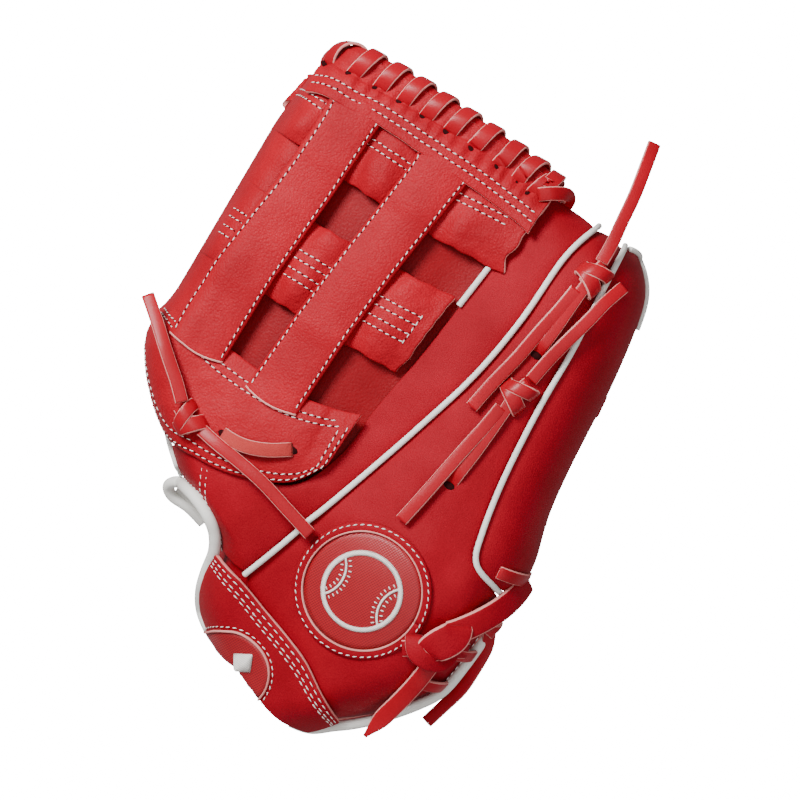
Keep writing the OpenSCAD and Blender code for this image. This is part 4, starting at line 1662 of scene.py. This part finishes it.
@dataclass
class Wrist:
    """Wrist strap with its badge, the white bindings, the linings and the heel laces."""

    strap_top: Curve = ((-38, -108), (-22, -113), (-6, -119), (11, -125), (25, -131), (38, -140), (51, -148))
    strap_foot: Curve = ((-35, -134), (-26, -143), (-13, -150), (1, -155), (13, -160), (26, -163), (40, -161))
    opening: Curve = ((-25, -146, -9), (-33, -140, -7), (-38, -131, -4), (-40.5, -120, -1), (-42, -109, 0),
                      (-47, -100, 0), (-56, -93.5, 0), (-66, -90, 0), (-75, -90.5, -2), (-79, -95, -7),
                      (-75, -99, -11), (-65, -100, -14), (-55, -103, -17))
    heel_line: Curve = ((97, -42, -9), (96.5, -58, -9), (95.5, -78, -8), (94, -96, -6), (91, -113, -3),
                        (84, -125, -1), (73, -139, -1), (62, -150, -1), (53, -157, -2), (44, -164, -4),
                        (33, -166, -8))
    drop: float = 8.0
    flange: float = 0.86
    badge_place: tuple[float, float] = (0.455, 0.93)
    badge_r: float = 22.6

    def build(self) -> None:
        """Build and dress every piece."""
        self.strap()
        self.strap_badge()
        self.bindings()
        self.heel()

    def strap_point(self, u: float, v: float, lift: float) -> Vector:
        """Point on the wrist strap's plan, lifted off the skin.

        Args:
            u: Place across, from 0 to 1.
            v: Place along, from 0 to 1.
            lift: Extra height off the skin, in millimetres.

        Returns:
            The point, in plan millimetres.
        """
        p = across(self.strap_top, self.strap_foot, v, u)
        down = self.drop * (1 - cos(pi / 2 * v)) * (0.25 + 0.75 * sin(pi * min(1, max(0, u))))
        return SKIN.point(p.x, p.y, 1.6 + lift) - Vector((0, 0, down))

    def strap_at(self, u: float, v: float) -> Vector:
        """Point on the strap's outer face, which turns down past its flange.

        Args:
            u: Place across, from 0 to 1.
            v: Place along, from 0 to 1.

        Returns:
            The point, in plan millimetres.
        """
        q = self.strap_point(u, min(v / self.flange, 1.0), 3.4 + 0.6 * sin(pi * min(1, v)))
        turn = max(0.0, (v - self.flange) / (1 - self.flange)) * pi / 2
        return q + Vector((1.5, 3.0, 0)) * (1 - cos(turn)) - Vector((0, 0, 9 * sin(turn)))

    def strap(self) -> None:
        """The strap and its stitched rows, and the leather under its upper edge."""
        obj = sheet("wrist_strap_leather", self.strap_at, 70, 34, 3.0, ["back", "cut"])
        keep(obj, Half.THUMB, ["wrist_strap"])

        def under_leather(u: float, v: float) -> Vector:
            """Point on the leather under the strap."""
            top = spline(((-46, -100), (-32, -106), (-16, -110), (-4, -112)), u)
            foot = spline(((-36, -136), (-24, -138), (-10, -138), (4, -138)), u)
            p = mix(top, foot, v)
            return SKIN.point(p.x, p.y, -2.9)

        keep(sheet("wrist_side_leather", under_leather, 20, 20, 1.8, ["back", "cut"]), Half.THUMB)
        threads = bmesh.new()
        for v in (0.06, 0.14, 0.19):
            path = []
            for i in range(71):
                p = self.strap_at(mix(0.02, 0.98, i / 70), v)
                path.append((p + Vector((0, 0, 0.25)), SKIN.normal(p.x, p.y)))
            add_stitches(threads, path, Thread(pitch=4.4, dash=3.5, width=0.6, slant=0.06))
        keep(finish_mesh("wrist_strap_stitching", threads, ["thread"]), Half.THUMB)

    def badge_point(self, x: float, y: float, lift: float) -> Vector:
        """Point of the strap badge, x and y in its own radii; its lower half runs over the strap's edge.

        Args:
            x: Place across the badge, from -1 to 1.
            y: Place along the badge, from -1 to 1.
            lift: Height over the strap.

        Returns:
            The point, in plan millimetres.
        """
        u0, v0 = self.badge_place
        across_, rise = 98, 36 / self.flange
        v = v0 - y * self.badge_r / rise if y > 0 else v0 - y * 0.05
        p = self.strap_at(u0 + x * self.badge_r / across_, v)
        return p + Vector((-0.2, -0.5, 1.0)).normalized() * lift

    def strap_badge(self) -> None:
        """The badge on the strap, with a plain diamond."""
        bm = bmesh.new()
        bmesh.ops.create_circle(bm, cap_ends=True, cap_tris=True, segments=56, radius=1.0)
        bmesh.ops.subdivide_edges(bm, edges=[e for e in bm.edges if not e.is_boundary], cuts=8)
        for vert in bm.verts:
            vert.co = self.badge_point(vert.co.x, vert.co.y, 0.5)
        obj = finish_mesh("strap_badge_disc", bm, ["badge"], outward=False)
        solid = obj.modifiers.new("thickness", "SOLIDIFY")
        solid.thickness = 0.8 * MM
        keep(obj, Half.THUMB, ["strap_badge"])
        up = Vector((-0.2, -0.5, 1.0)).normalized()
        rim, threads, ring = bmesh.new(), bmesh.new(), []
        for k, lift in ((1.03, 0.7), (1.12, 0.45)):
            ring = [(self.badge_point(k * cos(a), k * sin(a), lift), up)
                    for a in (radians(mix(-8, 188, i / 60)) for i in range(61))]
            if k < 1.1:
                add_strand(rim, ring, 1.1, 1.5, sides=8, square=0.8, face_slot=1)
            else:
                add_stitches(threads, ring)
        keep(finish_mesh("strap_badge_rim", rim, ["back", "cut"]), Half.THUMB)
        rows, centre = 26, 0.43
        for i in range(rows):
            y = mix(-0.32, 0.32, i / (rows - 1))
            half = 0.33 - abs(y) + 0.03
            west, east = (self.badge_point(x, centre + y, 0.9) for x in (-half, half))
            along = east - west
            side = up.cross(along).normalized()
            matrix = thread_matrix((west + east) / 2, along / 2, side * 0.5, up * 0.5)
            bmesh.ops.create_icosphere(threads, subdivisions=1, radius=1.0, matrix=matrix)
        keep(finish_mesh("strap_badge_embroidery", threads, ["thread"]), Half.THUMB,
             ["strap_emblem"])

    def roll_path(self, route: Curve, inset: float, steps: int, draw_in: float = 0.0) -> Path:
        """Path of a rolled edge, at the height of the skin a little inside it.

        Args:
            route: Plan points, each with its fall.
            inset: How far in the height is read.
            steps: Number of steps.
            draw_in: How far the roll is drawn in.

        Returns:
            Points with their upward directions.
        """
        path = []
        middle = Vector((10.0, -90.0))
        for i in range(steps + 1):
            x, y, fall = spline(route, i / steps)
            inward = (middle - Vector((x, y))).normalized()
            z = SKIN.height(x + inward.x * inset, y + inward.y * inset)
            path.append((Vector((x + inward.x * draw_in, y + inward.y * draw_in, z + fall)),
                         Vector((0, 0, 1))))
        return path

    def bindings(self) -> None:
        """White rolled bindings at the back opening and heel, with the leather and stitching there."""
        obj = strand("back_opening_roll", self.roll_path(self.opening, 5.0, 100), 6.0, 6.0, ["trim", "trim"],
                     sides=14, square=1.0)
        keep(obj, Half.THUMB, ["back_opening_binding"])
        obj = strand("heel_roll", self.roll_path(self.heel_line, 6.0, 100, 1.8), 5.2, 5.2, ["trim", "trim"],
                     sides=14, square=1.0)
        keep(obj, Half.THUMB, ["heel_binding"])

        def lobe(u: float, v: float) -> Vector:
            """Point on the lining inside the rolled lobe."""
            x, y, fall = mix(spline(self.opening[5:9], u), spline(self.opening[:9:-1], u), v)
            return Vector((x, y, SKIN.height(x + 4, y) + fall - 1.0 - 2.0 * sin(pi * v)))

        keep(sheet("opening_lobe_lining", lobe, 12, 6, 1.2, ["trim"]), Half.THUMB)

        def side(u: float, v: float) -> Vector:
            """Point on the leather at the heel side."""
            x, y, _ = spline(self.heel_line[:-2], u)
            edge = SKIN.height(x - 5, y) - 3
            return Vector((x - 3.0 + 2.0 * sin(pi * v), y + 1.5, edge - mix(0, 24, v)))

        obj = sheet("heel_side_leather", side, 50, 10, 2.0, ["back", "cut"])
        keep(obj, Half.THUMB)
        corner = skin_path(((-90.5, -71), (-86, -76.5), (-80, -82), (-75, -87)), 0.6, 30)
        keep(strand("corner_piping", corner, 2.6, 2.6, ["trim", "trim"], sides=10, square=1.0),
             Half.THUMB)
        threads = bmesh.new()
        for route in (
            ((-66, -77), (-63, -84), (-59.5, -90)), ((-63.5, -76), (-60.5, -83), (-57, -89)),
            ((-72, -86), (-60, -88), (-50, -94), (-42.5, -101), (-38, -108)),
            ((60, -147), (70, -137), (80, -124.5), (86.5, -112)), ((87, -109), (89, -96), (90, -80)),
        ):
            add_stitches(threads, skin_path(route, 0.35, 60))
        keep(finish_mesh("edge_stitching", threads, ["thread"]), Half.THUMB)

        def lining(u: float, v: float) -> Vector:
            """Point on the knitted lining."""
            return self.strap_point(mix(0.03, 0.97, u), mix(-0.5, 0.96, v), -5.8)

        obj = sheet("wrist_lining_knit", lining, 40, 24, 1.4, ["lining"])
        keep(obj, Half.THUMB, ["wrist_lining"])

    def heel(self) -> None:
        """The wide heel tie with its folded knot, and the heel lace loops with theirs."""
        def draped(route: Curve, lift: Callable[[float], float], steps: int = 40) -> Path:
            """A path over the skin whose face leans upward."""
            return [(p, (n + Vector((0, 0, 1.6))).normalized()) for p, n in skin_path(route, lift, steps)]

        band = draped(((95, -45), (91, -54), (85.5, -65), (79.5, -76), (75, -84)),
                      lambda q: 2.2 + 3.4 * sin(pi * q))
        obj = strand("heel_tie_band", band, 12.5, 2.8, ["back", "cut"], square=0.45)
        keep(obj, Half.THUMB, ["heel_tie"])
        bm = bmesh.new()
        pillow = draped(((76, -79), (74.5, -83), (71.5, -88), (69.5, -92.5), (69, -97)),
                        lambda q: 3.4 + 4.6 * sin(pi * q) ** 0.6, 26)
        add_strand(bm, pillow, 17.0, 3.2, sides=20, square=0.55,
                   taper=lambda q: 0.62 + 0.38 * sin(pi * min(1.0, 0.18 + 0.8 * q)))
        wrap = draped(((62, -93.5), (65, -97.5), (70, -98.5), (76, -96.5), (79.5, -91)),
                      lambda q: 1.2 + 7.0 * sin(pi * q) ** 0.55, 26)
        add_strand(bm, wrap, 8.5, 2.8, sides=16, square=0.5)
        under_band = draped(((86, -88), (80, -90.5), (74, -93), (66, -97), (60, -101)), lambda q: 2.6, 20)
        add_strand(bm, under_band, 8.0, 2.4, sides=14, square=0.45)
        keep(finish_mesh("heel_tie_knot", bm, ["back", "cut"]), Half.THUMB, ["heel_knot"])
        bm = bmesh.new()
        for x, y, wide in ((96, -44, 6.4), (94.5, -70, 7.0), (93, -89, 6.4), (88, -109, 6.4)):
            path = []
            for k in range(17):
                q = k / 16
                px = x - 15 + 16 * q
                clamped = min(px, x - 1.0)
                top = SKIN.point(clamped, y - 3.5 * (1 - q), 0.6 + 2.6 * sin(pi * q) ** 0.7)
                path.append((top + Vector((px - clamped, 0, -15 * ramp(q, 0.82, 1.0))),
                             (SKIN.normal(clamped, y) + Vector((0.6 * q, 0, 0))).normalized()))
            add_strand(bm, path, wide, 2.2, square=0.45)
        keep(finish_mesh("heel_lace_loops", bm, ["lace", "cut"]), Half.THUMB, ["heel_lace"])
        laces = Laces()
        laces.knot("heel_lace_knot", (91.5, -73), 110, None, 0.8)


# ---------------------------------------------------------------- pads and finger half


@dataclass
class Pads:
    """Palm pads, stall linings and dividers inside the mitt."""

    thumb_room: float = 18.0
    finger_room: float = 15.0
    palm: float = 8.0
    pad_left: Curve = ((-12, 112), (-16, 90), (-20, 50), (-22, 20), (-24, -10), (-24, -36), (-24, -60),
                       (-26, -86))
    pad_right: Curve = ((60, 112), (70, 95), (76, 60), (78, 28), (80, -6), (84, -34), (83, -60), (80, -86))

    def build(self) -> None:
        """Build and dress every piece."""
        self.thumb_pad()
        self.finger_pad()

    def thumb_lift(self, u: float, v: float) -> float:
        """Lift of the thumb pad's upper face off the skin, below zero since it lies inside.

        Args:
            u: Place across, from 0 to 1.
            v: Place along, from 0 to 1.

        Returns:
            The lift in millimetres, below zero.
        """
        room = self.thumb_room * max(0.0, sin(pi * u)) ** 0.45 * ramp(v, 0, 0.18)
        return -8.2 - room

    def thumb_pad(self) -> None:
        """The pocket-side pad of the thumb, and the stall's lining."""
        def at(u: float, v: float, lift: float) -> Vector:
            """Point on this piece."""
            p = across(self.pad_left, self.pad_right, u, v)
            return SKIN.under(p.x, p.y, lift)

        # The palm finish's darker red paints the shade inside the pocket.
        obj = pad("thumb_palm_cushion",
                  lambda u, v: at(u, v, self.thumb_lift(u, v) - 1.0),
                  lambda u, v: at(u, v, self.thumb_lift(u, v) - self.palm + 1.0), 28, 52, "palm")
        keep(obj, Half.THUMB, ["thumb_palm_pad"])

        def lining(u: float, v: float) -> Vector:
            """Point on the knitted lining."""
            a, b = mix(0.12, 0.88, u), mix(0.16, 0.99, v)
            return at(a, b, self.thumb_lift(a, b) + 1.6)

        obj = sheet("thumb_stall_knit", lining, 26, 40, 1.2, ["lining"])
        keep(obj, Half.THUMB, ["thumb_stall_lining"])

    def finger_pad(self) -> None:
        """The pocket-side pad of the fingers, the dividers, the heel pad and the wrist lining."""
        def base(u: float, v: float) -> float:
            """Height of the pad over the finger backs."""
            return 5.6 + self.finger_room * max(0.0, sin(pi * u)) ** 0.4 * ramp(v, 0, 0.16)

        def at(u: float, v: float, lift: float) -> Vector:
            """Point on this piece."""
            a, b = mix(0.06, 0.94, u), mix(0.05, 0.72, v)
            return FINGERS.point(a, b, base(a, v) + lift)

        # The palm finish's darker red paints the shade inside the pocket.
        obj = pad("finger_palm_cushion", lambda u, v: at(u, v, self.palm - 1.0), lambda u, v: at(u, v, 1.0),
                  40, 48, "palm")
        keep(obj, Half.FINGER, ["finger_palm_pad"])
        for k, split in enumerate((0.27, 0.5, 0.73)):
            def wall(u: float, v: float, s: float = split) -> Vector:
                """Point on a stall divider."""
                return FINGERS.point(s, mix(0.16, 0.55, v), mix(2.8, 13, u))

            obj = sheet(f"stall_divider_{k + 1}", wall, 6, 24, 2.4, ["lining"])
            keep(obj, Half.FINGER, ["stall_dividers"] if k == 0 else [])

        def heel(u: float, v: float, lift: float) -> Vector:
            """Point on the heel piece."""
            return FINGERS.point(mix(0.70, 0.94, u), mix(0.75, 0.90, v), lift)

        # The palm finish's darker red paints the shade inside the mitt.
        obj = pad("finger_heel_cushion", lambda u, v: heel(u, v, 12.8), lambda u, v: heel(u, v, 6.4), 16, 16,
                  "palm")
        keep(obj, Half.FINGER, ["finger_heel_pad"])

        def lining(u: float, v: float) -> Vector:
            """Point on the knitted lining."""
            return FINGERS.point(mix(0.05, 0.95, u), mix(0.70, 0.985, v), 4.2)

        obj = sheet("finger_wrist_knit", lining, 30, 24, 1.4, ["lining"])
        keep(obj, Half.FINGER, ["finger_wrist_lining"])


@dataclass
class FingerShell:
    """Back panels of the fingers with their piping, binding and lacing."""

    splits: tuple[float, ...] = (0.0, 0.27, 0.5, 0.73, 1.0)
    names: tuple[str, ...] = ("index", "middle", "ring", "little")
    foot: float = 0.68
    gap: float = 0.009

    def build(self) -> None:
        """Build and dress every piece."""
        for k, name in enumerate(self.names):
            def at(u: float, v: float, n: int = k) -> Vector:
                """Point on this piece."""
                s = mix(self.splits[n] + (self.gap if n else 0),
                        self.splits[n + 1] - (self.gap if n < 3 else 0), u)
                width = 46.0
                dip = exp(-u * width / 3) + exp(-(1 - u) * width / 3)
                p = FINGERS.point(s, v * self.foot, 1.6 * dip)
                return p + Vector((0, 0, 0.3 * abs(wobble(p.x, p.y, 18, 20))))

            obj = sheet(f"{name}_back_leather", at, 26, 90, 2.4, ["back", "cut"], up=-1.0)
            keep(obj, Half.FINGER, [f"{name}_panel"])

        def heel(u: float, v: float) -> Vector:
            """Point on the heel piece."""
            return FINGERS.point(u, mix(self.foot + 0.004, 0.98, v), 0.3)

        obj = sheet("finger_heel_leather", heel, 60, 30, 2.4, ["back", "cut"], up=-1.0)
        keep(obj, Half.FINGER, ["finger_heel_panel"])
        bm = bmesh.new()
        for split in self.splits[1:4]:
            path = [(FINGERS.point(split, self.foot * i / 90, 1.5), Vector((0, 0, -1))) for i in range(91)]
            add_strand(bm, path, 2.6, 2.6, sides=10, square=1.0, edge_slot=0)
        keep(finish_mesh("finger_piping_cords", bm, ["trim"]), Half.FINGER, ["finger_piping"])
        path = [(FINGERS.point(i / 120, 0, 1.6) + Vector((0, 2.4, 0)),
                 Vector((0, 0.3, 1))) for i in range(121)]
        obj = strand("finger_tip_roll", path, 4.4, 5.0, ["web", "web"], sides=14, square=1.0)
        keep(obj, Half.FINGER, ["finger_edge_binding"])

        def strap(u: float, v: float) -> Vector:
            """Point on the lower strap."""
            return FINGERS.point(mix(0.0, 1.0, u), 0.985, mix(6.5, -0.5, v)) + Vector((0, -1.5, 0))

        keep(sheet("lower_strap_leather", strap, 50, 8, 3.0, ["back", "cut"]), Half.FINGER,
             ["lower_strap"])
        self.fold_lace()

    def fold_lace(self) -> None:
        """The leather gusset and lace loops that join the web fold to the index finger."""

        def gusset(u: float, v: float) -> Vector:
            """Point on the gusset at the web fold."""
            y = mix(104, -52, v)
            foot = FINGERS.point(0.0, min(1, max(0, (104 - y) / 300)), 1.0)
            x_top = SKIN.outline(SKIN.left, y) + 1.5
            top = Vector((x_top, y, SKIN.height(x_top - 2, y) - 2))
            low = Vector((min(foot.x, x_top + 4) + 1.5, y, 29.0))
            p = low.lerp(top, u)
            return p + Vector((1.5 * sin(pi * u), 0, 0))

        obj = sheet("web_fold_gusset", gusset, 14, 60, 2.0, ["web", "cut"])
        keep(obj, Half.FOLD)
        bm = bmesh.new()
        for i in range(8):
            y = mix(80, -8, i / 7)
            x = SKIN.outline(SKIN.left, y)
            path = [(Vector((x + 1.0 - 1.2 * sin(pi * k / 8), y - 3 * k / 8, mix(60, 30, k / 8))),
                     Vector((-1, 0, 0)))
                    for k in range(9)]
            add_strand(bm, path, 6.4, 2.0, square=0.45)
        keep(finish_mesh("web_side_lace_loops", bm, ["lace", "cut"]), Half.FOLD, ["web_side_lace"])


# ---------------------------------------------------------------- studio


@dataclass
class Studio:
    """Camera, lights and floor."""

    view_width: float = 0.384
    lens: float = 120.0
    sensor: float = 36.0
    turn: float = radians(30)
    plane: float = 0.095

    def build(self) -> None:
        """Set the camera straight above, the soft lights and the pale floor."""
        data = bpy.data.cameras.new("camera")
        data.lens = self.lens
        data.sensor_width = self.sensor
        camera = bpy.data.objects.new("camera", data)
        middle = to_frame(Vector((0, 0, 0)))
        distance = self.view_width / self.sensor * self.lens
        camera.location = (middle.x, middle.y, self.plane + distance)
        camera.rotation_euler = (0.0, 0.0, self.turn)
        bpy.context.scene.collection.objects.link(camera)
        bpy.context.scene.camera = camera
        self.light("key", (-0.8, 0.35, 1.0), 0.45, 33.0)
        self.light("fill", (0.7, -0.6, 0.9), 1.2, 4.0)
        self.light("top", (0.1, 0.1, 1.6), 1.2, 7.0)
        world = bpy.data.worlds.new("studio")
        world.use_nodes = True
        world.node_tree.nodes["Background"].inputs["Color"].default_value = (1.0, 1.0, 1.0, 1.0)
        world.node_tree.nodes["Background"].inputs["Strength"].default_value = 0.4
        bpy.context.scene.world = world
        bm = bmesh.new()
        bmesh.ops.create_grid(bm, x_segments=1, y_segments=1, size=3.0)
        mesh = bpy.data.meshes.new("floor")
        bm.to_mesh(mesh)
        bm.free()
        mat, _, _, shader = new_material("pale_floor")
        shader.inputs["Base Color"].default_value = (0.93, 0.93, 0.93, 1.0)
        shader.inputs["Emission Color"].default_value = (1.0, 1.0, 1.0, 1.0)
        shader.inputs["Emission Strength"].default_value = 16.0
        shader.inputs["Roughness"].default_value = 0.9
        mesh.materials.append(mat)
        floor = bpy.data.objects.new("floor", mesh)
        floor.visible_glossy = False
        floor.visible_diffuse = False
        bpy.context.scene.collection.objects.link(floor)

    def light(self, name: str, place: tuple[float, float, float], size: float, power: float) -> None:
        """One square area light aimed at the mitt.

        Args:
            name: Name of the lamp.
            place: Where it stands, in metres.
            size: Side of the lamp in metres.
            power: Power in watts.
        """
        data = bpy.data.lights.new(name, "AREA")
        data.size = size
        data.energy = power
        lamp = bpy.data.objects.new(name, data)
        lamp.location = place
        aim = Vector((0.0, 0.0, 0.08)) - Vector(place)
        lamp.rotation_euler = aim.to_track_quat("-Z", "Y").to_euler()
        bpy.context.scene.collection.objects.link(lamp)


MATERIALS: dict[str, bpy.types.Material] = {}


def main() -> None:
    """Build the studio and every sub-assembly."""
    logging.basicConfig(level=logging.INFO)
    for key, finish in FINISHES.items():
        MATERIALS[key] = finish.build()
    for part in (Studio(), Laces(), ThumbShell(), Web(), Wrist(), Pads(), FingerShell()):
        part.build()
        LOG.info("built %s", type(part).__name__)


if __name__ == "__main__":
    main()
